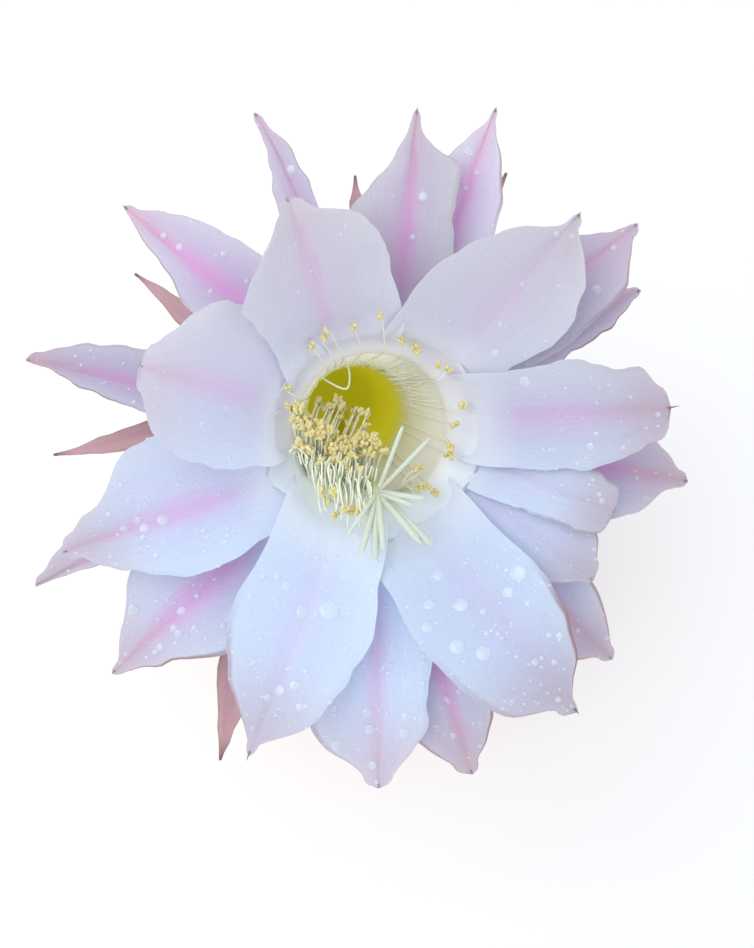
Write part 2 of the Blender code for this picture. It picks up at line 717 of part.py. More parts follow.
# Tepals: blades on a collar round the mouth, shaped by one rule
def eased(stations, values, s):
    """A smooth curve through the values at the stations."""
    i = max(k for k in range(len(stations) - 1) if stations[k] <= s or k == 0)
    step = stations[i + 1] - stations[i]
    u = (s - stations[i]) / step
    slopes = []
    for k in (i, i + 1):
        low, high = max(0, k - 1), min(len(stations) - 1, k + 1)
        slopes.append((values[high] - values[low]) / (stations[high] - stations[low]) * step)
    rise = values[i + 1] - values[i]
    bend = slopes[0] * u * (1 - u) ** 2 - slopes[1] * u * u * (1 - u)
    return values[i] + rise * u * u * (3 - 2 * u) + bend


def edge_of(side):
    """A blade's half widths at the edge stations, worked out for a plain blade."""
    return side if isinstance(side, tuple) else [side * share for share in LANCE]


class Tepal:
    def __init__(self, tip, rank, left, right, roll=0, start=None, end=None):
        self.left = edge_of(left)
        self.right = edge_of(right)
        self.base_share = min(0.66, MOUTH_RADIUS / MM / (max(self.left) + max(self.right)))
        self.roll = math.radians(roll)
        seen = math.atan2(tip[1], tip[0])
        start = seen if start is None else math.radians(start)
        end = seen if end is None else math.radians(end)
        depth = (rank + 0.5) * RANK_STEP
        rise = math.radians(mix(64, 8, min(1.0, rank / 9)))
        droop = math.radians(mix(-8, -34, min(1.0, rank / 9)))
        root = mouth_point(tube_outside(depth) + GAP + COLLAR_WALL / 2, start, depth)
        point = face_point(*tip)
        handle = (point - root).length * 0.36
        leave = ring_direction(start) * math.cos(rise) + MOUTH_AXIS * math.sin(rise)
        out = RIGHT * math.cos(end) + UP * math.sin(end)
        arrive = out * math.cos(droop) + FACING * math.sin(droop)
        self.path = (root, root + leave * handle, point - arrive * handle, point)

    def half_width(self, s, t):
        """How far the blade reaches to the left (t above 0) or right of its midrib."""
        widths = self.left if t > 0 else self.right
        first, last = EDGE_STATIONS[0], EDGE_STATIONS[-1]
        if s < first:
            half = mix(self.base_share * max(widths), widths[0], math.sin(math.pi / 2 * s / first))
        elif s > last:
            past = (s - last) / (1 - last)
            half = widths[-1] * math.sqrt(max(0.0, 1 - past * past))
        else:
            half = eased(EDGE_STATIONS, widths, s)
        return max(TIP_HALF, half) * MM

    def point(self, s, t):
        """The blade's middle surface: s runs from base to tip, t from -1 at its right edge to 1."""
        slope = bezier_slope(self.path, s)
        axis = mix(MOUTH_AXIS, FACING, s)
        side = axis.cross(slope).normalized()
        side = Quaternion(slope, self.roll * smooth(s / 0.6)) @ side
        normal = slope.cross(side)
        offset = t * self.half_width(s, t)
        curl = mix(1 / (32 * MM), 1 / (130 * MM), smooth(s * 1.6))
        return bezier(self.path, s) + side * offset + normal * offset * offset * curl


def blade(name, tepal, rows, columns, group):
    """A closed blade, split into triangles alike on both faces."""
    nudge = 0.01
    bm = bmesh.new()
    faces = ([], [])
    for s in rows:
        top, under = [], []
        for j in range(columns + 1):
            t = 2 * j / columns - 1
            along = tepal.point(min(1, s + nudge), t) - tepal.point(max(0, s - nudge), t)
            across = tepal.point(s, min(1, t + nudge)) - tepal.point(s, max(-1, t - nudge))
            normal = along.cross(across).normalized()
            middle = tepal.point(s, t)
            top.append(bm.verts.new(middle + normal * BLADE / 2))
            under.append(bm.verts.new(middle - normal * BLADE / 2))
        faces[0].append(top)
        faces[1].append(under)
    top, under = faces
    last = len(rows) - 1
    for i in range(last):
        for j in range(columns):
            for a, b, c in (((i, j), (i + 1, j), (i + 1, j + 1)), ((i, j), (i + 1, j + 1), (i, j + 1))):
                bm.faces.new((top[a[0]][a[1]], top[b[0]][b[1]], top[c[0]][c[1]]))
                bm.faces.new((under[c[0]][c[1]], under[b[0]][b[1]], under[a[0]][a[1]]))
        for j in (0, columns):
            bm.faces.new((top[i][j], under[i][j], under[i + 1][j], top[i + 1][j]))
    for i in (0, last):
        for j in range(columns):
            bm.faces.new((top[i][j], top[i][j + 1], under[i][j + 1], under[i][j]))
    bmesh.ops.recalc_face_normals(bm, faces=bm.faces)
    return mesh_object(name, bm, group)


def collar(name, ranks, group):
    """The ring round the tube that carries a node's tepals. The innermost also covers the mouth's rim."""
    top = math.floor(min(ranks)) * RANK_STEP
    foot = (math.floor(max(ranks)) + 1) * RANK_STEP - GAP
    section = [(foot, tube_outside(foot) + GAP)]
    if min(ranks) == 0:
        top = -GAP - LIP
        section += [(-GAP, tube_outside(0) + GAP), (-GAP, tube_inside(0)), (top, tube_inside(0) + LIP)]
    else:
        section += [(top, tube_outside(top) + GAP)]
    section += [(top, tube_outside(top) + GAP + COLLAR_WALL), (foot, tube_outside(foot) + GAP + COLLAR_WALL)]
    rings = []
    for depth, radius in section:
        rings.append(circle(BLOOM_CENTRE - MOUTH_AXIS * depth, MOUTH_AXIS, radius, COLLAR_SIDES))
    return closed_band(name, rings, group)


def make_tepals(name, table, rows, columns, paint, group):
    """One node of tepals: a collar with its blades fused to it."""
    base = collar(name, [row["rank"] for row in table.values()], group)
    repeats = collection(f"{name}_repeats")
    for label, row in table.items():
        blade(f"{name}_{label}", Tepal(**row), rows, columns, repeats)
    finish(fuse(base, repeats, group), paint)


# Stamens: filaments with anthers on a band that lines the throat
def stamen(name, points, lean, group):
    """A filament through three control points, ending in an anther that leans to one side."""
    root, bend, tip = points
    rings = []
    for share, radius in ((0, FILAMENT_RADIUS), (0.5, FILAMENT_RADIUS), (0.94, FILAMENT_RADIUS * 0.8)):
        centre = root.lerp(bend, share).lerp(bend.lerp(tip, share), share)
        way = (mix(bend, tip, share) - mix(root, bend, share)).normalized()
        rings.append(circle(centre, way, radius, STAMEN_SIDES))
    way = ((tip - bend).normalized() + lean).normalized()
    for share, radius in ((0.15, ANTHER_RADIUS), (1, ANTHER_RADIUS * 0.45)):
        rings.append(circle(tip + way * ANTHER_LENGTH * share, way, radius, STAMEN_SIDES))
    loft(name, rings, group)


def make_band(group):
    rings = []
    for depth, inset in ((BAND_TOP, 0), (BAND_FOOT, 0), (BAND_FOOT, BAND_WALL), (BAND_TOP, BAND_WALL)):
        radius = tube_inside(depth) - GAP - inset
        rings.append(circle(BLOOM_CENTRE - MOUTH_AXIS * depth, MOUTH_AXIS, radius, TUBE_SIDES))
    return closed_band("stamens", rings, group)


def stamen_foot(bearing, depth):
    return mouth_point(tube_inside(depth) - GAP - BAND_WALL * 0.6, bearing, depth)


def anther_lean(draw):
    return (RIGHT * draw.uniform(-1, 1) + UP * draw.uniform(-1, 1)) * 0.7


def make_stamens(group):
    draw = random.Random(11)
    band = make_band(group)
    repeats = collection("stamen_repeats")
    for i, (right, up, forward) in enumerate(RING_ANTHERS):
        bearing = math.atan2(up, right)
        foot = stamen_foot(bearing, BAND_TOP * 1.8)
        bend = mouth_point(tube_inside(0) * 0.92, bearing, -RING_BEND)
        stamen(f"ring_{i}", (foot, bend, face_point(right, up, forward)), anther_lean(draw), repeats)
    for label, row in STAMEN_GROUPS.items():
        for i in range(row["count"]):
            share = (i + 0.5) / row["count"]
            foot = stamen_foot(math.radians(mix(*row["bearings"], share)), mix(*row["depths"], share) * MM)
            up = mix(*row["up"], share) + draw.uniform(-row["spread"], row["spread"])
            forward = mix(*row["forward"], share) + draw.uniform(-1.5, 1.5)
            tip = face_point(mix(*row["right"], share) + draw.uniform(-0.6, 0.6), up, forward)
            bend = foot.lerp(tip, 0.4) + FACING * 3 * MM
            stamen(f"{label}_{i}", (foot, bend, tip), anther_lean(draw), repeats)
    finish(fuse(band, repeats, group), material("anther_cream", (0.85, 0.76, 0.42), 0.7))


# Pistil: a style that rises through the tube, with its stigma's lobes
def make_pistil(group):
    start = (HOLLOW_FROM + 0.15) / TUBE_ROWS
    steps = 5
    centres = [bezier(tube_path(), mix(start, 1, i / steps)) for i in range(steps + 1)]
    end = face_point(*STIGMA)
    centres += [mouth_point(7.5 * MM, math.radians(262), 9 * MM), end]
    rings = []
    for i, centre in enumerate(centres):
        way = (centres[min(i + 1, len(centres) - 1)] - centres[max(i - 1, 0)]).normalized()
        rings.append(circle(centre, way, STYLE_RADIUS, STYLE_SIDES))
    style = loft("pistil", rings, group)
    repeats = collection("pistil_repeats")
    for i, reach in enumerate(STIGMA_LOBES):
        tip = end + (RIGHT * reach[0] + UP * reach[1] + FACING * reach[2]) * MM
        out = (tip - end).normalized()
        rings = [
            circle(end - FACING * 0.9 * MM, out, LOBE_RADIUS, 4),
            circle(end.lerp(tip, 0.5) + FACING * 0.8 * MM, out, LOBE_RADIUS, 4),
            circle(tip, out, LOBE_RADIUS * 0.5, 4),
        ]
        loft(f"lobe_{i}", rings, repeats)
    finish(fuse(style, repeats, group), material("stigma_cream", (0.8, 0.86, 0.66), 0.5))


def main():
    clear_scene()
    group = collection("potted_echinopsis")
    cutters = collection("cutters")
    make_pot(group, cutters)
    make_soil(group)
    make_stem(group)
    make_flower_tube(group)
    make_tepals("petals", PETALS, PETAL_ROWS, 4, material("petal_white", (0.85, 0.84, 0.9), 0.5), group)
    pink = material("petal_pink", (0.85, 0.62, 0.8), 0.5)
    make_tepals("outer_petals", OUTER_PETALS, OUTER_ROWS, 4, pink, group)
    make_tepals("sepals", SEPALS, SEPAL_ROWS, 2, material("sepal_brown", (0.5, 0.3, 0.27), 0.6), group)
    make_stamens(group)
    make_pistil(group)


main()
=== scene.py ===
"""The looks of a potted Echinopsis oxygona in bloom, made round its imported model. Metres, +Z up.

The plant is dressed in the order it is put together: pot, soil, stem, flower tube, bloom, and the dew on it.
"""

import math
import random

import bmesh
import bpy
from mathutils import Matrix, Quaternion, Vector, noise
from mathutils.bvhtree import BVHTree


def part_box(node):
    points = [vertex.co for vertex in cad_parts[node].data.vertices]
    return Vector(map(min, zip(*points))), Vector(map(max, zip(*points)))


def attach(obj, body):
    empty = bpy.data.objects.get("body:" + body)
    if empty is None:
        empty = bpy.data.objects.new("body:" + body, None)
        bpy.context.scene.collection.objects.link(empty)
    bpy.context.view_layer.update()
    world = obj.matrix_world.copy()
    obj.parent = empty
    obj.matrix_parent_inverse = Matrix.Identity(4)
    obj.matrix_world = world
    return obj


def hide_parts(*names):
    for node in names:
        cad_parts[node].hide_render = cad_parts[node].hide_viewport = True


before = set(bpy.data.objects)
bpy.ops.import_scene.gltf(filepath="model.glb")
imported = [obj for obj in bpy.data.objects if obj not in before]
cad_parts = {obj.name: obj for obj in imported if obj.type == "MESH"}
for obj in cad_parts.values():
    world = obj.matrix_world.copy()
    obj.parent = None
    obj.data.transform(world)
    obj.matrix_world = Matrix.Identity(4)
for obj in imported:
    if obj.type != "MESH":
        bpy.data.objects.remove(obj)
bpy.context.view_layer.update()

# Camera and room: the eye looks straight into the bloom from above and in front, over a white floor. The
# light is that of a bright overcast sky, with one large softbox behind the eye.
MM = 0.001
RIGHT = Vector((1, 0, 0))
UPRIGHT = Vector((0, 0, 1))
FACING_ELEVATION = math.radians(60)
UP = Vector((0, math.sin(FACING_ELEVATION), math.cos(FACING_ELEVATION)))
FACING = RIGHT.cross(UP)
BLOOM_CENTRE = Vector((0, -106, 289)) * MM
SEEN_FROM = 400 * MM
AIM_RIGHT = 1.03 * MM
AIM_DOWN = 9.07 * MM
AIM = BLOOM_CENTRE + RIGHT * AIM_RIGHT - UP * AIM_DOWN
EYE = AIM + FACING * SEEN_FROM
SENSOR_WIDTH = 36
LENS_LENGTH = 73.8


def turned_to(place, right, up, facing):
    """The matrix of an object at place whose own axes point right, up and along facing."""
    turn = Matrix((right, up, facing)).transposed().to_4x4()
    return Matrix.Translation(place) @ turn


lens = bpy.data.cameras.new("eye")
lens.sensor_width = SENSOR_WIDTH
lens.lens = LENS_LENGTH
lens.clip_start = 10 * MM
camera = bpy.data.objects.new("eye", lens)
camera.matrix_world = turned_to(EYE, RIGHT, UP, FACING)
bpy.context.scene.collection.objects.link(camera)
bpy.context.scene.camera = camera
bpy.context.scene.view_settings.view_transform = "Standard"

SOFTBOX_WIDTH = 1.3
SOFTBOX_POWER = 10.0
SOFTBOX_OFF = FACING * 1.3 + UP * 0.3 - RIGHT * 0.6  # from the aim, in metres
softbox = bpy.data.lights.new("softbox", "AREA")
softbox.shape = "DISK"
softbox.size = SOFTBOX_WIDTH
softbox.energy = SOFTBOX_POWER
softbox_stand = bpy.data.objects.new("softbox", softbox)
softbox_back = SOFTBOX_OFF.normalized()
softbox_right = UP.cross(softbox_back).normalized()
softbox_stand.matrix_world = turned_to(
    AIM + SOFTBOX_OFF, softbox_right, softbox_back.cross(softbox_right), softbox_back
)
bpy.context.scene.collection.objects.link(softbox_stand)

SKY = (0.93, 0.96, 1.0)
SKY_STRENGTH = 0.95
world = bpy.data.worlds.new("sky")
world.use_nodes = True
world.node_tree.nodes["Background"].inputs["Color"].default_value = (*SKY, 1)
world.node_tree.nodes["Background"].inputs["Strength"].default_value = SKY_STRENGTH
bpy.context.scene.world = world


def add(tree, kind, inputs=None, **settings):
    """A node of a tree. An input is given by its name or number, as a value or as a socket to link."""
    made = tree.nodes.new(kind)
    for key, value in settings.items():
        setattr(made, key, value)
    for key, value in (inputs or {}).items():
        if isinstance(value, bpy.types.NodeSocket):
            tree.links.new(value, made.inputs[key])
        else:
            made.inputs[key].default_value = value
    return made


class Finish:
    """A material, with what its nodes are built from. The shader's other sockets hold plain values."""

    def __init__(self, name, roughness=0.5, **sockets):
        self.material = bpy.data.materials.new(name)
        self.material.use_nodes = True
        self.tree = self.material.node_tree
        self.shader = self.tree.nodes["Principled BSDF"]
        self.shader.inputs["Roughness"].default_value = roughness
        for key, value in sockets.items():
            self.shader.inputs[key.replace("_", " ")].default_value = value

    def place(self):
        """Coordinates in metres, in the plant's own frame."""
        return add(self.tree, "ShaderNodeTexCoord").outputs["Object"]

    def along(self, way):
        """How far a point lies along a direction, in metres."""
        inputs = {0: self.place(), 1: tuple(way)}
        return add(self.tree, "ShaderNodeVectorMath", inputs, operation="DOT_PRODUCT").outputs["Value"]

    def carried(self, label):
        """A number that the piece's own points carry."""
        return add(self.tree, "ShaderNodeAttribute", attribute_name=label).outputs["Fac"]

    def map(self, label):
        """The coordinates of one of the piece's own UV maps."""
        return add(self.tree, "ShaderNodeUVMap", uv_map=label).outputs[0]

    def grain(self, vector, scale, detail=3.0, distortion=0.0):
        """A noise from 0 to 1 on the given coordinates, with scale marks to each unit of them."""
        inputs = {"Vector": vector, "Scale": scale, "Detail": detail, "Distortion": distortion}
        return add(self.tree, "ShaderNodeTexNoise", inputs).outputs["Fac"]

    def stretched(self, vector, factors):
        """Coordinates, or a colour, multiplied part by part."""
        inputs = {0: vector, 1: factors}
        return add(self.tree, "ShaderNodeVectorMath", inputs, operation="MULTIPLY").outputs[0]

    def span(self, value, start, end, low=0.0, high=1.0):
        """Low up to start, high from end on, and a smooth slope between them. Start may be past end."""
        inputs = {"Value": value, "From Min": start, "From Max": end, "To Min": low, "To Max": high}
        return add(self.tree, "ShaderNodeMapRange", inputs, interpolation_type="SMOOTHSTEP").outputs["Result"]

    def sum_of(self, operation, *values):
        """One step of arithmetic on numbers or sockets."""
        return add(self.tree, "ShaderNodeMath", dict(enumerate(values)), operation=operation).outputs[0]

    def times(self, first, *others):
        """The product of all of them."""
        for other in others:
            first = self.sum_of("MULTIPLY", first, other)
        return first

    def blend(self, first, second, share):
        """Two grains laid over each other, the first with the given share."""
        return self.sum_of("MULTIPLY_ADD", first, share, self.times(second, 1 - share))

    def off_middle(self, across):
        """0 on a blade's midrib and 1 at both of its edges, from its UV map's crosswise number."""
        return self.sum_of("ABSOLUTE", self.sum_of("MULTIPLY_ADD", across, 2.0, -1.0))

    def dyed(self, under, over, share):
        """One colour over another, by a share from 0 to 1. A colour is three numbers or a socket."""
        colours = [c if isinstance(c, bpy.types.NodeSocket) else (*c, 1) for c in (under, over)]
        inputs = {0: share, 6: colours[0], 7: colours[1]}
        return add(self.tree, "ShaderNodeMix", inputs, data_type="RGBA").outputs[2]

    def wear(self, colour, dullness=None, relief=None):
        """Links a colour, a roughness as (grain, least, most) and a relief as (grain, its real height)."""
        self.tree.links.new(colour, self.shader.inputs["Base Color"])
        if dullness:
            marks, least, most = dullness
            self.tree.links.new(self.span(marks, 0.3, 0.7, least, most), self.shader.inputs["Roughness"])
        if relief:
            marks, depth = relief
            bump = add(self.tree, "ShaderNodeBump", {"Height": marks, "Distance": depth, "Strength": 1.0})
            self.tree.links.new(bump.outputs["Normal"], self.shader.inputs["Normal"])

    def paint_glow(self, colour, strength):
        """A painted glow, as a colour and a strength: emission that stands in for the light that thin tissue
        lets through.
        """
        for key, value in (("Emission Color", colour), ("Emission Strength", strength)):
            if isinstance(value, bpy.types.NodeSocket):
                self.tree.links.new(value, self.shader.inputs[key])
            else:
                self.shader.inputs[key].default_value = value


FLOOR_SIDE = 8.0
FLOOR_SHADE = (0.93, 0.93, 0.93)
FLOOR_WHITE = (0.95, 0.95, 0.95)


def floor_white():
    """White that is hardly clouded."""
    white = Finish("white_floor", 0.8)
    white.wear(white.dyed(FLOOR_SHADE, FLOOR_WHITE, white.grain(white.place(), 4)))
    return white.material


bpy.ops.mesh.primitive_plane_add(size=FLOOR_SIDE)
floor = bpy.context.object
floor.name = "floor"
floor.data.materials.append(floor_white())


# Pot: thrown terracotta with a rim band, fired to a matt orange brown. Lime from the water has dried in
# pale patches on its wall, and it stands on its own foot.
POT_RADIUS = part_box("pot")[1].x
POT_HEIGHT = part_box("pot")[1].z
POT_FOOT_RADIUS = 35 * MM
POT_BODY_RADIUS = 46 * MM
POT_BAND = 17 * MM
POT_WALL = 4.5 * MM
POT_FLOOR = 6 * MM
POT_SIDES = 144
POT_WOBBLE = 0.004
DRAIN_HOLES = 3
DRAIN_RADIUS = 3.5 * MM
DRAIN_CIRCLE = 19 * MM


def mix(start, end, share):
    """Start at 0 and end at 1, and what lies between them."""
    return start + (end - start) * share


def smooth(share):
    """0 up to 0, 1 from 1 on, and a soft slope between."""
    share = min(1.0, max(0.0, share))
    return share * share * (3 - 2 * share)


def rounded(corners, steps=4):
    """A profile through (radius, height, rounding) corners, each rounded off by that much."""
    line = []
    for i, (radius, height, rounding) in enumerate(corners):
        corner = Vector((radius, height))
        if rounding == 0 or i in (0, len(corners) - 1):
            line.append(corner)
            continue
        before = Vector(corners[i - 1][:2]) - corner
        after = Vector(corners[i + 1][:2]) - corner
        start = corner + before.normalized() * min(rounding, before.length / 2)
        end = corner + after.normalized() * min(rounding, after.length / 2)
        for step in range(steps + 1):
            s = step / steps
            line.append(start.lerp(corner, s).lerp(corner.lerp(end, s), s))
    return line


def stood(name, mesh):
    """An object of the scene with this mesh."""
    made = bpy.data.objects.new(name, mesh)
    bpy.context.scene.collection.objects.link(made)
    return made


def built(name, bm, finish):
    """The object that a bmesh makes, shaded smooth."""
    mesh = bpy.data.meshes.new(name)
    bm.to_mesh(mesh)
    bm.free()
    mesh.materials.append(finish)
    mesh.shade_smooth()
    return stood(name, mesh)


def thrown(name, profile, sides, finish):
    """A profile of (radius, height) points turned about the pot's axis."""
    bm = bmesh.new()
    points = [bm.verts.new((radius, 0, height)) for radius, height in profile]
    for first, second in zip(points, points[1:]):
        bm.edges.new((first, second))
    bmesh.ops.spin(
        bm, geom=bm.verts[:] + bm.edges[:], cent=(0, 0, 0), axis=(0, 0, 1), angle=math.tau, steps=sides
    )
    bmesh.ops.remove_doubles(bm, verts=bm.verts, dist=0.01 * MM)
    bmesh.ops.recalc_face_normals(bm, faces=bm.faces)
    return built(name, bm, finish)


def pot_inner_radius(level):
    """The radius of the pot's hollow at a height."""
    rise = (level - POT_FLOOR) / (POT_HEIGHT - POT_FLOOR)
    return mix(POT_FOOT_RADIUS - POT_WALL, POT_RADIUS - POT_WALL * 1.6, rise)


CLAY_DARK = (0.50, 0.205, 0.105)
CLAY_PALE = (0.66, 0.32, 0.18)
CLAY_SPECKS = (0.36, 0.14, 0.075)
LIME = (0.74, 0.62, 0.52)


def terracotta():
    """Matt orange clay with darker specks and throwing rings, and lime dried on its lower half."""
    clay = Finish("terracotta", 0.85)
    cloud = clay.grain(clay.place(), 28, 5)
    specks = clay.grain(clay.place(), 900, 2)
    rings = clay.grain(clay.stretched(clay.place(), (20, 20, 900)), 1, 3, 0.4)
    colour = clay.dyed(CLAY_DARK, CLAY_PALE, cloud)
    colour = clay.dyed(colour, CLAY_SPECKS, clay.span(specks, 0.62, 0.72, 0, 0.55))
    low = clay.span(clay.along(UPRIGHT), 0.052, 0.012, 0.15, 0.9)
    colour = clay.dyed(colour, LIME, clay.times(low, clay.span(cloud, 0.5, 0.68), 0.6))
    clay.wear(colour, (cloud, 0.78, 0.93), (clay.blend(rings, specks, 0.6), 0.35 * MM))
    return clay.material


band_foot = POT_HEIGHT - POT_BAND
pot_profile = rounded([
    (0, POT_FLOOR, 0),
    (pot_inner_radius(POT_FLOOR), POT_FLOOR, 3 * MM),
    (pot_inner_radius(POT_HEIGHT), POT_HEIGHT, 2.4 * MM),
    (POT_RADIUS, POT_HEIGHT, 2.4 * MM),
    (POT_RADIUS - 1.4 * MM, band_foot, 1.4 * MM),
    (POT_BODY_RADIUS, band_foot - 0.5 * MM, 0.6 * MM),
    (POT_FOOT_RADIUS + 0.5 * MM, 0, 1.6 * MM),
    (0, 0, 0),
])
fine_profile = []
for low, high in zip(pot_profile, pot_profile[1:]):
    steps = max(1, round((high - low).length / (3 * MM)))
    fine_profile += [low.lerp(high, step / steps) for step in range(steps)]
pot = thrown("clay_pot", fine_profile + [pot_profile[-1]], POT_SIDES, terracotta())
for vertex in pot.data.vertices:
    reach = Vector(vertex.co[:2]).length
    if reach > POT_FLOOR and vertex.co.z > 1 * MM:
        uneven = 1 + noise.noise(vertex.co * 30) * 0.6 + math.sin(vertex.co.z * 1300) * 0.12
        vertex.co.x *= 1 - POT_WOBBLE * uneven
        vertex.co.y *= 1 - POT_WOBBLE * uneven
for i in range(DRAIN_HOLES):
    bearing = math.tau * i / DRAIN_HOLES + math.radians(90)
    spot = (DRAIN_CIRCLE * math.cos(bearing), DRAIN_CIRCLE * math.sin(bearing), POT_FLOOR / 2)
    bpy.ops.mesh.primitive_cylinder_add(vertices=32, radius=DRAIN_RADIUS, depth=POT_FLOOR * 3, location=spot)
    drill = bpy.context.object
    hole = pot.modifiers.new("drain_hole", "BOOLEAN")
    hole.object = drill
    hole.solver = "MANIFOLD"
    bpy.context.view_layer.update()
    drilled = bpy.data.meshes.new_from_object(pot.evaluated_get(bpy.context.evaluated_depsgraph_get()))
    pot.modifiers.clear()
    pot.data = drilled
    bpy.data.objects.remove(drill)
pot.data.shade_smooth()
pot.data.set_sharp_from_angle(angle=math.radians(50))
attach(pot, "root")
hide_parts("pot")


# Soil: dark peat that has settled a finger's width under the rim, lumpy, with grit and white perlite mixed
# through it. The grains lie half sunk in its face.
SOIL_LEVEL = 79 * MM
SOIL_HOLE_RADIUS = 24.3 * MM
SOIL_HOLE_DEPTH = 13 * MM
SOIL_GAP = 0.3 * MM  # between the soil and the pot or the root
SOIL_LUMPS = 0.9 * MM
SOIL_SIDES = 120
SOIL_RINGS = 26
GRAIN_RADIUS = 1.0 * MM
GRAINS_A_METRE2 = 150_000


def geometry_tree(name, sizes):
    """A tree of geometry nodes with named inputs for its sizes, and its input and output nodes."""
    tree = bpy.data.node_groups.new(name, "GeometryNodeTree")
    tree.interface.new_socket("Geometry", in_out="INPUT", socket_type="NodeSocketGeometry")
    for label, kind in sizes.items():
        tree.interface.new_socket(label, in_out="INPUT", socket_type=f"NodeSocket{kind}")
    tree.interface.new_socket("Geometry", in_out="OUTPUT", socket_type="NodeSocketGeometry")
    return tree, tree.nodes.new("NodeGroupInput").outputs, tree.nodes.new("NodeGroupOutput")


def grown(name, source, tree, **values):
    """The plain object that a tree makes of a source, which is removed."""
    modifier = source.modifiers.new(tree.name, "NODES")
    modifier.node_group = tree
    for item in tree.interface.items_tree:
        label = item.name.lower().replace(" ", "_")
        if item.in_out == "INPUT" and label in values:
            modifier[item.identifier] = values[label]
    bpy.context.view_layer.update()
    mesh = bpy.data.meshes.new_from_object(source.evaluated_get(bpy.context.evaluated_depsgraph_get()))
    bpy.data.objects.remove(source)
    mesh.name = name
    return stood(name, mesh)


def strewing_tree():
    """Strews turned and squashed pebbles of uneven size over the faces that look up."""
    sizes = {"Radius": "Float", "Density": "Float", "Seed": "Int", "Finish": "Material"}
    tree, given, out = geometry_tree("strewn", sizes)
    normal = add(tree, "GeometryNodeInputNormal").outputs[0]
    rise = add(tree, "ShaderNodeSeparateXYZ", {0: normal}).outputs["Z"]
    level = add(tree, "FunctionNodeCompare", {0: rise, 1: 0.6}, operation="GREATER_THAN").outputs[0]
    spread = add(
        tree,
        "GeometryNodeDistributePointsOnFaces",
        {"Mesh": given["Geometry"], "Selection": level, "Density": given["Density"], "Seed": given["Seed"]},
    )
    pebble = add(tree, "GeometryNodeMeshIcoSphere", {"Radius": given["Radius"], "Subdivisions": 2}).outputs[0]
    turn, size = (
        add(tree, "FunctionNodeRandomValue", {0: least, 1: most}, data_type="FLOAT_VECTOR").outputs[0]
        for least, most in (((0, 0, 0), (6.3, 6.3, 6.3)), ((0.35, 0.3, 0.25), (1.3, 1.1, 0.8)))
    )
    placed = add(
        tree,
        "GeometryNodeInstanceOnPoints",
        {"Points": spread.outputs["Points"], "Instance": pebble, "Rotation": turn, "Scale": size},
    ).outputs[0]
    real = add(tree, "GeometryNodeRealizeInstances", {0: placed}).outputs[0]
    painted = add(tree, "GeometryNodeSetMaterial", {"Geometry": real, "Material": given["Finish"]}).outputs[0]
    tree.links.new(painted, out.inputs[0])
    return tree


PEAT_BLACK = (0.028, 0.018, 0.012)
PEAT_BROWN = (0.12, 0.08, 0.05)
PEAT_FIBRE = (0.2, 0.14, 0.085)


def peat():
    """Dark crumbs with some brown fibre among them."""
    earth = Finish("peat", 0.95)
    crumbs = earth.grain(earth.place(), 700, 6)
    colour = earth.dyed(PEAT_BLACK, PEAT_BROWN, crumbs)
    fibre = earth.span(earth.grain(earth.place(), 320), 0.6, 0.72)
    earth.wear(earth.dyed(colour, PEAT_FIBRE, fibre), (crumbs, 0.85, 1.0), (crumbs, 1.2 * MM))
    return earth.material


STONE_BLACK = (0.075, 0.05, 0.035)
STONE_BROWN = (0.33, 0.25, 0.18)
PERLITE = (0.78, 0.76, 0.71)


def grit():
    """Stones from black to brown, and white perlite among them."""
    stone = Finish("grit", 0.85)
    kind = stone.grain(stone.place(), 160, 1)
    colour = stone.dyed(STONE_BLACK, STONE_BROWN, stone.span(kind, 0.42, 0.6))
    perlite = stone.span(stone.grain(stone.place(), 230, 0), 0.63, 0.66)
    colour = stone.dyed(colour, PERLITE, perlite)
    stone.wear(colour, None, (stone.grain(stone.place(), 1800), 0.3 * MM))
    return stone.material


soil_floor = POT_FLOOR + SOIL_GAP
soil_edge = pot_inner_radius(SOIL_LEVEL) - SOIL_GAP
soil_profile = [(0, SOIL_LEVEL - SOIL_HOLE_DEPTH), (SOIL_HOLE_RADIUS, SOIL_LEVEL - SOIL_HOLE_DEPTH)]
for i in range(SOIL_RINGS + 1):
    soil_profile.append((mix(SOIL_HOLE_RADIUS, soil_edge, i / SOIL_RINGS), SOIL_LEVEL))
soil_profile += [(pot_inner_radius(soil_floor + 2 * MM) - 0.6 * MM, soil_floor + 2 * MM)]
soil_profile += [(pot_inner_radius(soil_floor) - 2 * MM, soil_floor), (0, soil_floor)]
soil = thrown("potting_soil", soil_profile, SOIL_SIDES, peat())
for vertex in soil.data.vertices:
    x, y, z = vertex.co
    if abs(z - SOIL_LEVEL) < 0.01 * MM:
        lumps = math.sin(310 * x + 1) * math.cos(270 * y) + 0.6 * math.sin(720 * x + 540 * y)
        crumbs = noise.noise(vertex.co * 420) + 0.6 * noise.noise(vertex.co * 1100)
        vertex.co.z += SOIL_LUMPS * (lumps * 0.8 + crumbs * 0.7)
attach(soil, "root")
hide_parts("soil")

bed = stood("grit_bed", soil.data.copy())
strewn = strewing_tree()
stones = grown("soil_grit", bed, strewn, radius=GRAIN_RADIUS, density=GRAINS_A_METRE2, seed=4, finish=grit())
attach(stones, "root")


# Stem: a fleshy globe with thirteen ribs, dull green and waxy, paler along the crests and corky at the neck.
# It is rooted in the soil.
RIBS = 13
STEM_ROOT_RADIUS = 24 * MM
STEM_NECK_LEVEL = 81.5 * MM
STEM_WIDEST = 43 * MM
STEM_WIDEST_LEVEL = 119 * MM
STEM_TOP = 161 * MM
FURROW_SHARE = 0.2
STEPS_PER_RIB = 14
STEM_ROWS = 64
AREOLES_PER_RIB = 4


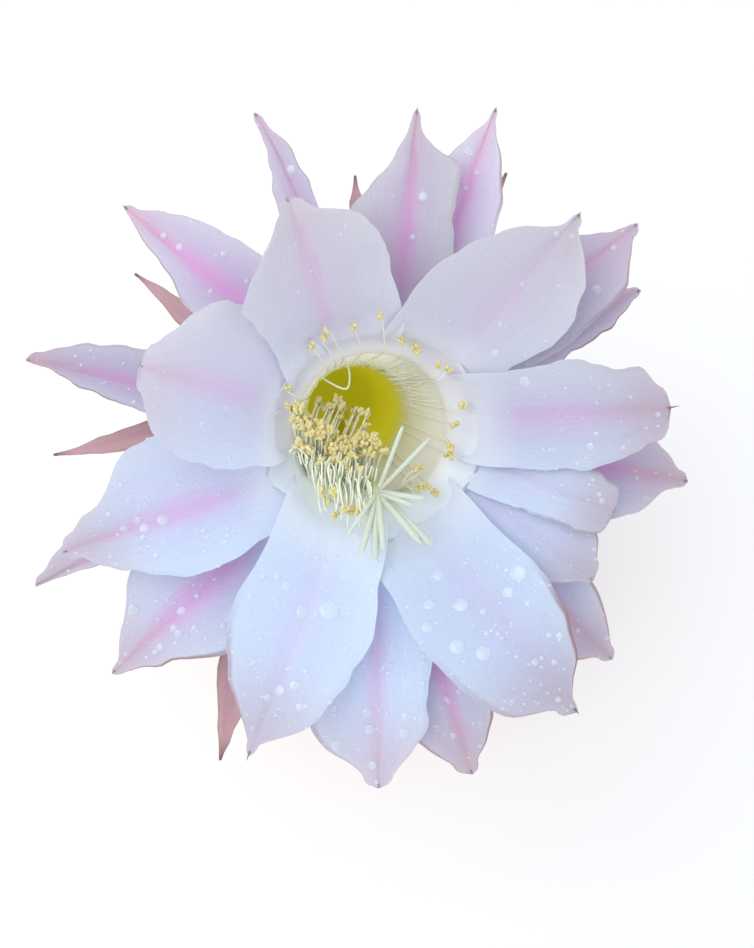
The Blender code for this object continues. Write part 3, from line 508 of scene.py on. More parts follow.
def stem_radius(level):
    """The stem's radius along its rib crests."""
    if level > STEM_WIDEST_LEVEL:
        rise = (level - STEM_WIDEST_LEVEL) / (STEM_TOP - STEM_WIDEST_LEVEL)
        return STEM_WIDEST * math.sqrt(max(0.0, 1 - rise**2.3))
    drop = (STEM_WIDEST_LEVEL - level) / (STEM_WIDEST_LEVEL - STEM_NECK_LEVEL)
    return mix(STEM_ROOT_RADIUS, STEM_WIDEST, math.sqrt(max(0.0, 1 - min(1.0, drop) ** 2.2)))


def rib_height(bearing):
    """1 on a crest and 0 in a furrow. One crest faces -Y."""
    return abs(math.cos((bearing + math.pi / 2) * RIBS / 2)) ** 0.8


def areole_spots():
    """Each areole's bearing and level, stepping round the ribs as they grow."""
    low, high = SOIL_LEVEL + 15 * MM, STEM_TOP - 8 * MM
    for rib in range(RIBS):
        bearing = math.tau * rib / RIBS - math.pi / 2
        for i in range(AREOLES_PER_RIB):
            share = (i + (rib * 5 / RIBS) % 1) / AREOLES_PER_RIB
            yield bearing, mix(low, high, share**0.86)


def crest_frame(bearing, level):
    """A rib crest's point there and the way that it faces."""
    step = 0.5 * MM
    radius = stem_radius(level)
    slope = (stem_radius(level + step) - stem_radius(level - step)) / (2 * step)
    out = Vector((math.cos(bearing), math.sin(bearing), 0))
    return out * radius + Vector((0, 0, level)), (out - Vector((0, 0, slope))).normalized()


def skinned(bm, rows, ends=True):
    """Faces from ring to ring, and over both ends, or else from the last ring back to the first."""
    around = len(rows[0])
    for low, high in zip(rows, rows[1:] if ends else rows[1:] + rows[:1]):
        for j in range(around):
            k = (j + 1) % around
            bm.faces.new((low[j], low[k], high[k], high[j]))
    if ends:
        bm.faces.new(rows[0][::-1])
        bm.faces.new(rows[-1])
    bmesh.ops.recalc_face_normals(bm, faces=bm.faces)


def skin_of(name, rings, finish, values, ends=True):
    """A closed skin over rings of points. Values holds a number for each point, by attribute name."""
    bm = bmesh.new()
    layers = {label: bm.verts.layers.float.new(label) for label in values}
    rows = []
    for i, ring in enumerate(rings):
        row = []
        for j, point in enumerate(ring):
            vertex = bm.verts.new(point)
            for label, numbers in values.items():
                vertex[layers[label]] = numbers[i][j]
            row.append(vertex)
        rows.append(row)
    skinned(bm, rows, ends)
    return built(name, bm, finish)


FURROW_GREEN = (0.035, 0.10, 0.035)
CREST_GREEN = (0.085, 0.19, 0.065)
STEM_BLOOM = (0.16, 0.27, 0.13)
STEM_FLECKS = (0.22, 0.33, 0.19)
CORK = (0.27, 0.20, 0.12)
CROWN_GREEN = (0.24, 0.36, 0.12)


def stem_skin():
    """Waxy green, paler on the crests and flecked, corky at the neck and fresh at the crown."""
    skin = Finish("stem_skin", 0.5, Specular_IOR_Level=0.4)
    height = skin.along(UPRIGHT)
    cloud = skin.grain(skin.place(), 70, 5)
    dots = skin.grain(skin.place(), 1300, 2)
    colour = skin.dyed(FURROW_GREEN, CREST_GREEN, skin.carried("crest"))
    colour = skin.dyed(colour, STEM_BLOOM, skin.span(cloud, 0.45, 0.75, 0, 0.5))
    colour = skin.dyed(colour, STEM_FLECKS, skin.span(dots, 0.6, 0.75, 0, 0.35))
    cork = skin.sum_of("MULTIPLY_ADD", cloud, 0.02, height)
    colour = skin.dyed(colour, CORK, skin.span(cork, 0.108, 0.092, 0, 0.85))
    colour = skin.dyed(colour, CROWN_GREEN, skin.span(height, 0.15, 0.162, 0, 0.5))
    skin.wear(colour, (cloud, 0.42, 0.62), (skin.blend(cloud, dots, 0.7), 0.5 * MM))
    return skin.material


stem_root = SOIL_LEVEL - SOIL_HOLE_DEPTH + SOIL_GAP
stem_top = STEM_TOP - 0.35 * MM
stem_rings, stem_crests = [], []
for i in range(STEM_ROWS + 1):
    arc = i / STEM_ROWS
    level = mix(stem_root, stem_top, 1 - (1 - arc) ** 1.7)
    ring, crests = [], []
    for j in range(RIBS * STEPS_PER_RIB):
        bearing = math.tau * j / (RIBS * STEPS_PER_RIB) - math.pi / 2
        crest = rib_height(bearing)
        ribbing = smooth((level - SOIL_LEVEL - 2 * MM) / (14 * MM))
        radius = stem_radius(level) if level > STEM_NECK_LEVEL else STEM_ROOT_RADIUS
        radius *= 1 - FURROW_SHARE * ribbing * (1 - crest)
        place = Vector((math.cos(bearing) * radius, math.sin(bearing) * radius, level))
        dimple = 0.35 * MM * noise.noise(place * 110) + 0.12 * MM * noise.noise(place * 340)
        ring.append(place + Vector((math.cos(bearing), math.sin(bearing), 0)) * dimple * ribbing)
        crests.append(crest**2 * ribbing)
    stem_rings.append(ring)
    stem_crests.append(crests)
stem = skin_of("ribbed_stem", stem_rings, stem_skin(), {"crest": stem_crests})
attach(stem, "root")
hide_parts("stem")


# Areoles: felt cushions on the rib crests that carry the spines, brown with darker points, and a tuft of
# short grey wool. The oldest, low on the stem, have lost most of their wool.
AREOLE_RADIUS = 1.7 * MM
SPINES_AN_AREOLE = 9
SPINE_RADIUS = 0.32 * MM
SPINE_LENGTH = 10 * MM
WOOL_HAIRS = 46
WOOL_RADIUS = 0.07 * MM
WOOL_LENGTH = 2.4 * MM
FELT_STAND = ((-1.0, 1.0), (0.2, 0.95), (0.7, 0.5))  # (height in millimetres, share of the radius)
CROWN_HAIRS = 420
CROWN_RADIUS = 7 * MM
CROWN_HAIR_LENGTH = 2.2 * MM
BOSS_LEVEL = 147 * MM  # where the bloom's tube leaves the stem
BOSS_SLOPE = math.radians(54)
BOSS_STAND = 2.5 * MM
BOSS_CLEAR = 11 * MM  # no areole stands nearer the tube's foot than this


def chains(name, strands):
    """Loose chains of points. A strand is a list of (place, thickness from 0 to 1)."""
    mesh = bpy.data.meshes.new(name)
    places, edges, thicknesses, shares = [], [], [], []
    for strand in strands:
        first = len(places)
        for i, (place, thickness) in enumerate(strand):
            places.append(place)
            thicknesses.append(thickness)
            shares.append(i / (len(strand) - 1))
        edges += [(i, i + 1) for i in range(first, len(places) - 1)]
    mesh.from_pydata(places, edges, [])
    mesh.attributes.new("thickness", "FLOAT", "POINT").data.foreach_set("value", thicknesses)
    mesh.attributes.new("along", "FLOAT", "POINT").data.foreach_set("value", shares)
    return stood(name, mesh)


def strand_tree():
    """Gives chains of points a round body, as thick as their own thickness times the radius."""
    tree, given, out = geometry_tree("strands", {"Radius": "Float", "Sides": "Int", "Finish": "Material"})
    lines = add(tree, "GeometryNodeMeshToCurve", {"Mesh": given["Geometry"]}).outputs[0]
    thickness = add(tree, "GeometryNodeInputNamedAttribute", {"Name": "thickness"}).outputs["Attribute"]
    girth = add(tree, "ShaderNodeMath", {0: thickness, 1: given["Radius"]}, operation="MULTIPLY").outputs[0]
    circle_of = {"Resolution": given["Sides"], "Radius": 1.0}
    section = add(tree, "GeometryNodeCurvePrimitiveCircle", circle_of).outputs[0]
    body = add(
        tree,
        "GeometryNodeCurveToMesh",
        {"Curve": lines, "Profile Curve": section, "Scale": girth, "Fill Caps": True},
    ).outputs[0]
    soft = add(tree, "GeometryNodeSetShadeSmooth", {"Geometry": body}).outputs[0]
    real = add(tree, "GeometryNodeRealizeInstances", {0: soft}).outputs[0]
    painted = add(tree, "GeometryNodeSetMaterial", {"Geometry": real, "Material": given["Finish"]}).outputs[0]
    tree.links.new(painted, out.inputs[0])
    return tree


strand_body = strand_tree()


def arced(start, direction, length, bend, points, thin=0.1):
    """A strand that leaves start along direction and bends towards bend, thinning to its end."""
    strand = []
    for i in range(points):
        s = i / (points - 1)
        strand.append((start + direction * length * s + bend * length * s * s, mix(1.0, thin, s**1.5)))
    return strand


def about(axis, draw):
    """A random direction square to an axis."""
    side = axis.orthogonal().normalized()
    return Quaternion(axis, draw.uniform(0, math.tau)) @ side


def strung(name, lines, radius, sides, finish):
    """A piece of round strands along chains of points."""
    return grown(name, chains(f"{name}_lines", lines), strand_body, radius=radius, sides=sides, finish=finish)


HORN_PALE = (0.42, 0.27, 0.13)
HORN_DARK = (0.16, 0.075, 0.03)
HORN_POINT = (0.045, 0.02, 0.012)


def spine_horn():
    """Mottled brown horn that darkens to the point."""
    horn = Finish("spine", 0.45)
    mottle = horn.grain(horn.place(), 600)
    colour = horn.dyed(HORN_PALE, HORN_DARK, mottle)
    colour = horn.dyed(colour, HORN_POINT, horn.span(horn.carried("along"), 0.55, 0.95))
    horn.wear(colour, None, (mottle, 0.05 * MM))
    return horn.material


WOOL_GREY = (0.42, 0.36, 0.27)
WOOL_CREAM = (0.72, 0.68, 0.58)


def areole_wool():
    """Greyish cream wool."""
    wool = Finish("areole_wool", 0.9, Sheen_Weight=0.3)
    shade = wool.grain(wool.place(), 500)
    wool.wear(wool.dyed(WOOL_GREY, WOOL_CREAM, shade), (shade, 0.85, 0.95))
    return wool.material


tube_way = Vector((0, -math.cos(BOSS_SLOPE), math.sin(BOSS_SLOPE)))
tube_foot = Vector((0, -stem_radius(BOSS_LEVEL), BOSS_LEVEL)) + tube_way * BOSS_STAND
draw = random.Random(3)
spines, tufts, felt = [], [], []
for bearing, level in areole_spots():
    spot, normal = crest_frame(bearing, level)
    if (spot - tube_foot).length < BOSS_CLEAR:
        continue
    felt.append([(spot + normal * stand * MM, share) for stand, share in FELT_STAND])
    upward = (UPRIGHT - normal * normal.z).normalized()
    root = spot - normal * MM
    spines.append(arced(root, normal, SPINE_LENGTH * draw.uniform(1.0, 1.25), upward * 0.1, 6))
    for i in range(SPINES_AN_AREOLE - 1):
        turn = math.tau * (i + 0.5) / (SPINES_AN_AREOLE - 1) + draw.uniform(-0.25, 0.25)
        lean = Quaternion(normal, turn) @ upward
        way = (normal * draw.uniform(0.45, 0.8) + lean).normalized()
        spines.append(arced(root, way, SPINE_LENGTH * draw.uniform(0.6, 0.95), normal * 0.12, 6))
    age = smooth((level - SOIL_LEVEL) / (STEM_TOP - SOIL_LEVEL))
    for i in range(WOOL_HAIRS):
        side = about(normal, draw)
        root = spot + side * AREOLE_RADIUS * math.sqrt(draw.random()) - normal * 0.3 * MM
        way = (normal + side * draw.uniform(0, 0.9)).normalized()
        length = WOOL_LENGTH * mix(0.5, 1.1, age) * draw.uniform(0.5, 1)
        tufts.append(arced(root, way, length, about(normal, draw) * 0.5, 4))
for i in range(CROWN_HAIRS):
    side = about(UPRIGHT, draw)
    root = side * CROWN_RADIUS * math.sqrt(draw.random()) + UPRIGHT * (STEM_TOP - 1.0 * MM)
    tufts.append(arced(root, UPRIGHT, CROWN_HAIR_LENGTH * draw.uniform(0.5, 1), side * 0.8, 4))
wool = areole_wool()
spine_piece = strung("spines", spines, SPINE_RADIUS, 6, spine_horn())
wool_piece = strung("wool", tufts, WOOL_RADIUS, 3, wool)
felt_piece = strung("felt", felt, AREOLE_RADIUS, 12, wool)
for piece in (spine_piece, wool_piece, felt_piece):
    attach(piece, "root")
    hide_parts("stem")


# Flower tube: the long green neck that the bloom opens on, hollow above the ovary. Outside it has ridges,
# narrow scales and grey brown hairs. Inside, it is olive and shades to a pale cream at the mouth.
MOUTH_TILT = math.radians(18)
MOUTH_TILT_TOWARDS = math.radians(315)
MOUTH_AXIS = (
    FACING * math.cos(MOUTH_TILT)
    + (RIGHT * math.cos(MOUTH_TILT_TOWARDS) + UP * math.sin(MOUTH_TILT_TOWARDS)) * math.sin(MOUTH_TILT)
)
MOUTH_RADIUS = 17.4 * MM
MOUTH_WALL = 1.0 * MM
MOUTH_TAPER = 0.3
FUNNEL_DEPTH = 22 * MM
TUBE_WALL = 1.5 * MM
TUBE_WAIST_RADIUS = 5.8 * MM
OVARY_RADIUS = 8.5 * MM
TUBE_SIDES = 48
TUBE_ROWS = 45
HOLLOW_FROM = 15
TUBE_RIDGES = 8
RIDGE_HEIGHT = 0.35 * MM
TUBE_SCALES = 24
SCALE_LENGTHS = (6 * MM, 12 * MM)
SCALE_WIDTHS = (2.6 * MM, 4.4 * MM)
LEAF_TURN = math.radians(137.5)
AXIL_HAIRS = 34
THROAT_GLOW = 0.27  # how strongly the throat is painted to glow deep down, as emission in place of the light that the thin green wall lets through, seen from inside
GLOW_SIDE = UP * 0.8 - RIGHT * 0.6  # the side, up and to the left, where the throat near the mouth gets an extra painted glow
GLOW_FROM = BLOOM_CENTRE.dot(GLOW_SIDE) + 4 * MM
GLOW_TO = BLOOM_CENTRE.dot(GLOW_SIDE) + 12 * MM
TUBE_HAIR_RADIUS = 0.05 * MM
CREAM = (0.77, 0.75, 0.69)


def circle(centre, axis, radius, sides, turn=0.0):
    """Points round a circle square to axis, starting from the side that looks most to the right."""
    across = (RIGHT - axis * RIGHT.dot(axis)).normalized()
    over = axis.cross(across)
    angles = [turn + math.tau * i / sides for i in range(sides)]
    return [centre + (across * math.cos(angle) + over * math.sin(angle)) * radius for angle in angles]


def bezier(points, s):
    """A point of the curve with these four control points."""
    a, b, c, d = points
    r = 1 - s
    return a * r**3 + b * 3 * r * r * s + c * 3 * r * s * s + d * s**3


def bezier_slope(points, s):
    """The way that this curve runs there."""
    a, b, c, d = points
    r = 1 - s
    return ((b - a) * r * r + (c - b) * 2 * r * s + (d - c) * s * s).normalized()


def tube_outside(depth):
    """The funnel's outer radius at a depth below the mouth."""
    return MOUTH_RADIUS - MOUTH_TAPER * depth


def tube_inside(depth):
    """The funnel's inner radius at that depth."""
    return tube_outside(depth) - mix(MOUTH_WALL, TUBE_WALL, depth / FUNNEL_DEPTH)


def tube_radius(s):
    """The tube's outside radius along its path: round at the ovary, slim, then widening to the funnel."""
    ovary = OVARY_RADIUS * math.exp(-(((s - 0.09) / 0.13) ** 2))
    widening = mix(TUBE_WAIST_RADIUS, tube_outside(FUNNEL_DEPTH), smooth(s) ** 1.3)
    return max(ovary, widening) if s > 0.03 else OVARY_RADIUS * 0.8


tube_start = tube_foot + tube_way * 0.3 * MM
tube_end = BLOOM_CENTRE - MOUTH_AXIS * FUNNEL_DEPTH
tube_reach = (tube_end - tube_start).length
tube_path = (
    tube_start,
    tube_start + tube_way * tube_reach * 0.42,
    tube_end - MOUTH_AXIS * tube_reach * 0.38,
    tube_end,
)


TUBE_GREEN = (0.13, 0.20, 0.05)
TUBE_PALE = (0.24, 0.30, 0.10)
TUBE_BRONZE = (0.30, 0.17, 0.12)
TUBE_RIDGE = (0.09, 0.14, 0.035)
THROAT_CREAM = (0.75, 0.73, 0.59)
THROAT_OLIVE = (0.50, 0.48, 0.05)
THROAT_DEEP = (0.30, 0.32, 0.02)
THROAT_CLOUD = (0.86, 0.86, 0.70)
# The colours of the throat's painted glow, at the mouth and deep down
GLOW_AT_MOUTH = (0.90, 0.90, 0.82)
GLOW_IN_THROAT = (0.80, 0.72, 0.02)


def tube_skin():
    """Green and bronzed outside, cream at the mouth inside and olive deeper down. It glows as painted light
    in the throat.
    """
    neck = Finish("tube_skin", 0.55)
    inside, depth, ridge = neck.carried("inside"), neck.carried("depth"), neck.carried("ridge")
    cloud = neck.grain(neck.place(), 160, 4)
    outer = neck.dyed(TUBE_GREEN, TUBE_PALE, cloud)
    outer = neck.dyed(outer, TUBE_BRONZE, neck.span(depth, 70, 5, 0.0, 0.65))
    outer = neck.dyed(outer, TUBE_RIDGE, neck.times(ridge, 0.6))
    inner = neck.dyed(CREAM, THROAT_CREAM, neck.span(depth, 5, 14))
    inner = neck.dyed(inner, THROAT_OLIVE, neck.span(depth, 14, 21))
    inner = neck.dyed(inner, THROAT_DEEP, neck.span(depth, 30, 60))
    inner = neck.dyed(inner, THROAT_CLOUD, neck.span(cloud, 0.5, 0.75, 0, 0.12))
    neck.wear(neck.dyed(outer, inner, inside), (cloud, 0.5, 0.65), (neck.blend(ridge, cloud, 0.5), 0.25 * MM))
    # Painted glow: deep in the throat, and near the mouth on its upper left side, in place of light that
    # comes through the wall.
    pale = neck.times(neck.span(depth, 17, 13), neck.span(neck.along(GLOW_SIDE), GLOW_FROM, GLOW_TO, 0.03, 0.30))
    glow = neck.sum_of("ADD", neck.span(depth, 14, 22, 0, THROAT_GLOW), pale)
    glow_colour = neck.dyed(GLOW_AT_MOUTH, GLOW_IN_THROAT, neck.span(depth, 12, 18))
    neck.paint_glow(glow_colour, neck.times(glow, inside))
    return neck.material


tube_rings, tube_values = [], {"inside": [], "depth": [], "ridge": []}


def tube_ring(centre, axis, radius, inside, depth):
    """One ring of the tube, ridged lengthwise on its outside."""
    ring = circle(centre, axis, radius, TUBE_SIDES)
    ridges = [0.5 + 0.5 * math.cos(math.tau * j * TUBE_RIDGES / TUBE_SIDES) for j in range(TUBE_SIDES)]
    if not inside:
        outwards = [(point - centre).normalized() for point in ring]
        ring = [ring[j] - outwards[j] * RIDGE_HEIGHT * ridges[j] for j in range(TUBE_SIDES)]
    tube_rings.append(ring)
    tube_values["inside"].append([inside] * TUBE_SIDES)
    tube_values["depth"].append([depth / MM] * TUBE_SIDES)
    tube_values["ridge"].append(ridges)


for i in range(TUBE_ROWS + 1):
    s = i / TUBE_ROWS
    depth = FUNNEL_DEPTH + tube_reach * (1 - s)
    tube_ring(bezier(tube_path, s), bezier_slope(tube_path, s), tube_radius(s), 0.0, depth)
for depth in (18, 14, 10, 6, 3, 0.5, 0):
    tube_ring(BLOOM_CENTRE - MOUTH_AXIS * depth * MM, MOUTH_AXIS, tube_outside(depth * MM), 0.0, depth * MM)
for depth in (0, 0.5, 3, 6, 9, 12, 15, 18):
    tube_ring(BLOOM_CENTRE - MOUTH_AXIS * depth * MM, MOUTH_AXIS, tube_inside(depth * MM), 1.0, depth * MM)
for i in range(TUBE_ROWS, HOLLOW_FROM - 1, -1):
    s = i / TUBE_ROWS
    depth = FUNNEL_DEPTH + tube_reach * (1 - s)
    tube_ring(bezier(tube_path, s), bezier_slope(tube_path, s), tube_radius(s) - TUBE_WALL, 1.0, depth)
tube = skin_of("flower_neck", tube_rings, tube_skin(), tube_values)


SCALE_GREEN = (0.20, 0.24, 0.08)
SCALE_RED = (0.34, 0.19, 0.12)
SCALE_FIBRE = (0.42, 0.28, 0.2)


def tube_scale():
    """Green scales that turn brown red towards their tips, with a papery fibre."""
    paper = Finish("tube_scale", 0.6)
    fibre = paper.grain(paper.stretched(paper.place(), (1, 1, 0.2)), 900)
    colour = paper.dyed(SCALE_GREEN, SCALE_RED, paper.span(paper.carried("along"), 0.15, 0.8))
    colour = paper.dyed(colour, SCALE_FIBRE, paper.span(fibre, 0.45, 0.7, 0, 0.5))
    paper.wear(colour, None, (fibre, 0.15 * MM))
    return paper.material


HAIR_BROWN = (0.16, 0.12, 0.085)
HAIR_GREY = (0.52, 0.46, 0.38)


def axil_hair():
    """Grey brown hair."""
    hair = Finish("tube_hair", 0.8, Sheen_Weight=0.2)
    hair.wear(hair.dyed(HAIR_BROWN, HAIR_GREY, hair.grain(hair.place(), 400)))
    return hair.material


scale_bm = bmesh.new()
scale_layer = scale_bm.verts.layers.float.new("along")
hairs = []
for i in range(TUBE_SCALES):
    s = 0.06 + 0.86 * i / TUBE_SCALES
    centre, way = bezier(tube_path, s), bezier_slope(tube_path, s)
    across = circle(Vector(), way, 1, 4, i * LEAF_TURN)[0]
    side = way.cross(across)
    rows = []
    for step in range(8):
        share = step / 7
        lift = mix(-0.9, 1.5, share**0.8) * MM
        half = math.sqrt(max(0.004, math.sin(math.pi * (0.18 + 0.82 * share)))) * mix(1, 0.75, share)
        middle = centre + way * mix(*SCALE_LENGTHS, s) * share + across * (tube_radius(s) + lift)
        reach = side * mix(*SCALE_WIDTHS, s) * half * 0.5
        thick = across * mix(0.35, 0.12, share) * MM
        dip = across * 0.3 * MM * half
        corners = (middle - reach, middle - dip, middle + reach)
        row = [scale_bm.verts.new(point + thick) for point in corners]
        row += [scale_bm.verts.new(point - thick) for point in reversed(corners)]
        for vertex in row:
            vertex[scale_layer] = share
        rows.append(row)
    skinned(scale_bm, rows)
    for _ in range(AXIL_HAIRS):
        root = centre + across * (tube_radius(s) - 0.2 * MM) + side * draw.uniform(-1.5, 1.5) * MM
        root += way * draw.uniform(-1.0, 1.5) * MM
        lean = across * draw.uniform(0.3, 1) + way * draw.uniform(0.4, 1) + side * draw.uniform(-0.8, 0.8)
        curl = side * draw.uniform(-0.5, 0.5) + way * draw.uniform(-0.2, 0.5) - across * 0.2
        hairs.append(arced(root, lean.normalized(), draw.uniform(3, 7) * MM, curl, 7, 0.3))
scales = built("tube_scales", scale_bm, tube_scale())
hair_piece = strung("tube_hairs", hairs, TUBE_HAIR_RADIUS, 3, axil_hair())
for piece in (tube, scales, hair_piece):
    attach(piece, "root")
    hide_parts("flower_tube")


# Petals: thin satin blades in two layers, white with a lilac streak inside and pinker outside, and narrow
# brown pink sepals behind. Each is pleated lengthwise, ruffled at its edge, and ends in a short point.
BLADE_MIDDLE = 0.5 * MM  # how thick a blade is along its midrib, and at its edge
BLADE_EDGE = 0.14 * MM
BLADE_ROWS = 44
BLADE_COLUMNS = 24
SEPAL_ROWS = 18
SEPAL_COLUMNS = 8
POINT_RADIUS = 0.3 * MM
COLLAR_WALL = 1.4 * MM
GAP = 0.3 * MM  # between the tube and the collar that the blades grow from
RANK_STEP = 0.9 * MM
OUTERMOST = 9
RISE = (64, 8)  # how steeply the innermost and the outermost leave the throat, in degrees
DROOP = (-8, -34)  # and how they hold their tips
HANDLE_SHARE = 0.36
LENGTH_SHARE = 1.08  # a blade's length as a share of the straight way to its tip
CURL_RADII = (32 * MM, 130 * MM)  # how round a blade is crosswise, at its base and further out
MIDRIB_DIP = 0.45 * MM
PLEAT = 0.1 * MM
RUFFLE = 0.7 * MM
SWELL = 0.7 * MM
FRAY = 0.7

# Each tepal: where its tip is seen (right, up) and how far it stands towards the viewer, its rank from the
# innermost out, its roll in degrees (the left edge comes forward), and the bearings it starts from and ends
# towards where those aren't its tip's bearing. Left and right are its half widths at the edge stations, on
# either side of its midrib looking from base to tip. One number is the greatest half width of a plain blade
# shaped like a lance. Lengths in millimetres.
EDGE_STATIONS = (0.3, 0.4, 0.5, 0.6, 0.7, 0.8, 0.85, 0.9, 0.95)
LANCE = (0.93, 0.98, 1, 0.92, 0.75, 0.53, 0.4, 0.27, 0.13)
TIP_HALF = 0.3
PETALS = {
    "upper_left": dict(
        tip=(-17.5, 47, 30), rank=0, roll=6, start=118,
        left=(12, 12.8, 14.2, 15.3, 11.8, 7.4, 5, 3.7, 2),
        right=(14.6, 14.6, 14.6, 14.8, 14.4, 12.5, 10.3, 5.7, 3),
    ),
    "right": dict(
        tip=(61.5, 4.2, 16), rank=0.2, roll=6, start=8,
        left=(9.5, 10, 10.4, 11.6, 10.2, 8.5, 8.2, 8, 4.3),
        right=(10.2, 10.8, 11.1, 11.2, 10.7, 9.1, 8.2, 6.9, 5.9),
    ),
    "lower_left": dict(
        tip=(-25.3, -67.2, 14), rank=0.4, start=245,
        left=(12, 13.7, 14.5, 13.4, 11.9, 10.1, 8.7, 4.9, 1.2),
        right=(12.3, 13, 14.2, 13.7, 11.8, 8.3, 6, 3.4, 1.2),
    ),
    "left": dict(
        tip=(-47.8, 12.5, 27), rank=1, roll=6, start=160,
        left=(13, 14.5, 15.4, 15.5, 15.2, 13.8, 12, 9.2, 5),
        right=(14.5, 15.6, 16.4, 16.6, 16, 12.7, 9.8, 7.2, 5),
    ),
    "lower_right": dict(
        tip=(42.2, -58.3, 11), rank=0.9, start=300,
        left=(10.5, 11.2, 12, 11.7, 11, 8.7, 7.2, 3.3, 1),
        right=(14.5, 15.8, 16.6, 16, 15.2, 13.8, 12.3, 8.9, 3.4),
    ),
    "upper_right": dict(
        tip=(42.8, 43.9, 21), rank=1.3, roll=8,
        left=(16.4, 17, 16.4, 14.2, 11.2, 7.5, 4.2, 1.7, 0.7),
        right=(9.8, 11.6, 13, 13.2, 12, 10.1, 8.4, 5.6, 1.9),
    ),
    "top": dict(
        tip=(9.3, 65.5, 14), rank=2,
        left=(13.5, 13.8, 13.6, 12, 7.7, 3.8, 2.6, 1.7, 0.9),
        right=(11.5, 10.6, 9.4, 9, 9.4, 9.6, 5.3, 2.2, 1.1),
    ),
    "left_low": dict(
        tip=(-63.5, -25.5, 13), rank=2.3,
        left=(10.3, 12, 12.4, 12.3, 10.5, 7.3, 6, 4.2, 2),
        right=(13, 15, 16.2, 16.2, 13.6, 6.9, 5.4, 4.6, 2.8),
    ),
    "bottom": dict(
        tip=(1.4, -73.7, 1), rank=2.4,
        left=(11, 12, 12, 10.5, 9.8, 10.2, 7.9, 5.7, 3.2),
        right=(13, 14.8, 15.4, 15, 14.3, 13.6, 11.1, 6.8, 3.3),
    ),
    "right_low": dict(
        tip=(50.0, -17.0, 9), rank=2.5, roll=4, start=345,
        left=(9, 9.2, 9.2, 8.6, 7.4, 6.4, 6.2, 5.8, 5),
        right=(7, 6.8, 6.6, 6.3, 6.2, 6.2, 6.3, 6.1, 5.6),
    ),
    "right_lower": dict(
        tip=(45.5, -31.0, 4), rank=3, roll=2, start=331,
        left=(8.5, 9, 9.5, 9.6, 9.5, 9.2, 8.6, 7, 3.7),
        right=(8, 8.8, 9.2, 9, 8.2, 6.6, 5.1, 3.5, 1.6),
    ),
}
OUTER_PETALS = {
    "left_bottom": dict(
        tip=(-53.4, -50.1, 1), rank=6.1,
        left=(10, 12.5, 14, 13.5, 10.6, 6.7, 5.3, 3.4, 1.6),
        right=(11, 13, 14.3, 14, 12.3, 7.5, 5.4, 3.6, 1.3),
    ),
    "top_right": dict(
        tip=(25.5, 65.9, 6), rank=5.2,
        left=(8.5, 9.2, 9.5, 9.2, 7.8, 5, 3.3, 1.7, 0.8),
        right=(8.5, 8.7, 8.3, 7.6, 7.1, 4.8, 3.2, 2, 0.8),
    ),
    "right_high": dict(
        tip=(54.6, 42.2, 5), rank=5.7,
        left=(7.5, 8, 8.4, 8.6, 7.5, 4.8, 3.2, 2, 1.1),
        right=(9.5, 10.3, 10.8, 10.5, 9.9, 9, 6.8, 3.8, 1.7),
    ),
    "bottom_right": dict(
        tip=(20.6, -70.7, -5), rank=5.8,
        left=(9, 10.2, 11.2, 11.3, 9.8, 8, 6.4, 4.3, 2.1),
        right=(10, 11.3, 12, 11.8, 11, 9.6, 8.1, 5.4, 3),
    ),
    "left_high": dict(
        tip=(-50.9, 45.7, 9), rank=6, start=134,
        left=(7.6, 7.8, 7.7, 7, 4.7, 3.3, 2.6, 1.7, 0.8),
        right=(9.5, 10, 9.9, 9.2, 7.6, 5.8, 4.5, 2.9, 1.4),
    ),
    "right_point": dict(
        tip=(64.9, -10.5, -4), rank=6.2,
        left=(9.5, 10.3, 10.5, 10.2, 9.4, 8, 6.6, 4.5, 2.4),
        right=(10, 11, 11.6, 11.6, 10.5, 8.5, 6.1, 3.7, 1.8),
    ),
    "left_point": dict(
        tip=(-71.1, 14.4, 3), rank=6.1,
        left=(5.5, 5.8, 5.5, 4.6, 3.9, 2.6, 1.8, 1, 0.6),
        right=(7, 7.4, 7.4, 7.2, 6.5, 5.3, 4.4, 3.3, 1.9),
    ),
    "top_left": dict(
        tip=(-24.1, 64.9, 9), rank=6.3, start=106, end=120,
        left=(5, 5, 5.1, 5, 3.7, 2.1, 1.5, 1.2, 0.9),
        right=(4, 3.7, 3.4, 3, 3.1, 2.9, 2.2, 1.5, 0.9),
    ),
    "left_tail": dict(
        tip=(-69.2, -31.9, -5), rank=7.2,
        left=(5.5, 6, 5.6, 4.6, 2.4, 1.2, 1, 0.6, 0.4),
        right=(8.5, 9, 9, 8.4, 7.4, 6, 4.9, 3.6, 2),
    ),
    "right_bottom": dict(
        tip=(49.4, -47.0, -7), rank=7.1,
        left=(9.5, 10.5, 11, 10.6, 9.4, 7.3, 6, 4, 2),
        right=(9.5, 10.5, 11, 10.8, 10, 8.6, 7, 4.7, 1.8),
    ),
    "right_shoulder": dict(
        tip=(55.2, 28.8, -3), rank=7,
        left=(9, 10.5, 11.3, 11, 9.5, 6.5, 4.8, 3, 1.4),
        right=(7, 7, 6.4, 5.3, 4.9, 4.2, 3.5, 2.2, 1),
    ),
    "bottom_hidden": dict(
        tip=(-13.0, -53.0, -9), rank=7.4,
        left=(8, 9, 9.8, 9.6, 8.8, 7, 5.8, 4.2, 2.3),
        right=(8, 9, 9.8, 9.6, 8.8, 7, 5.8, 4.2, 2.3),
    ),
}
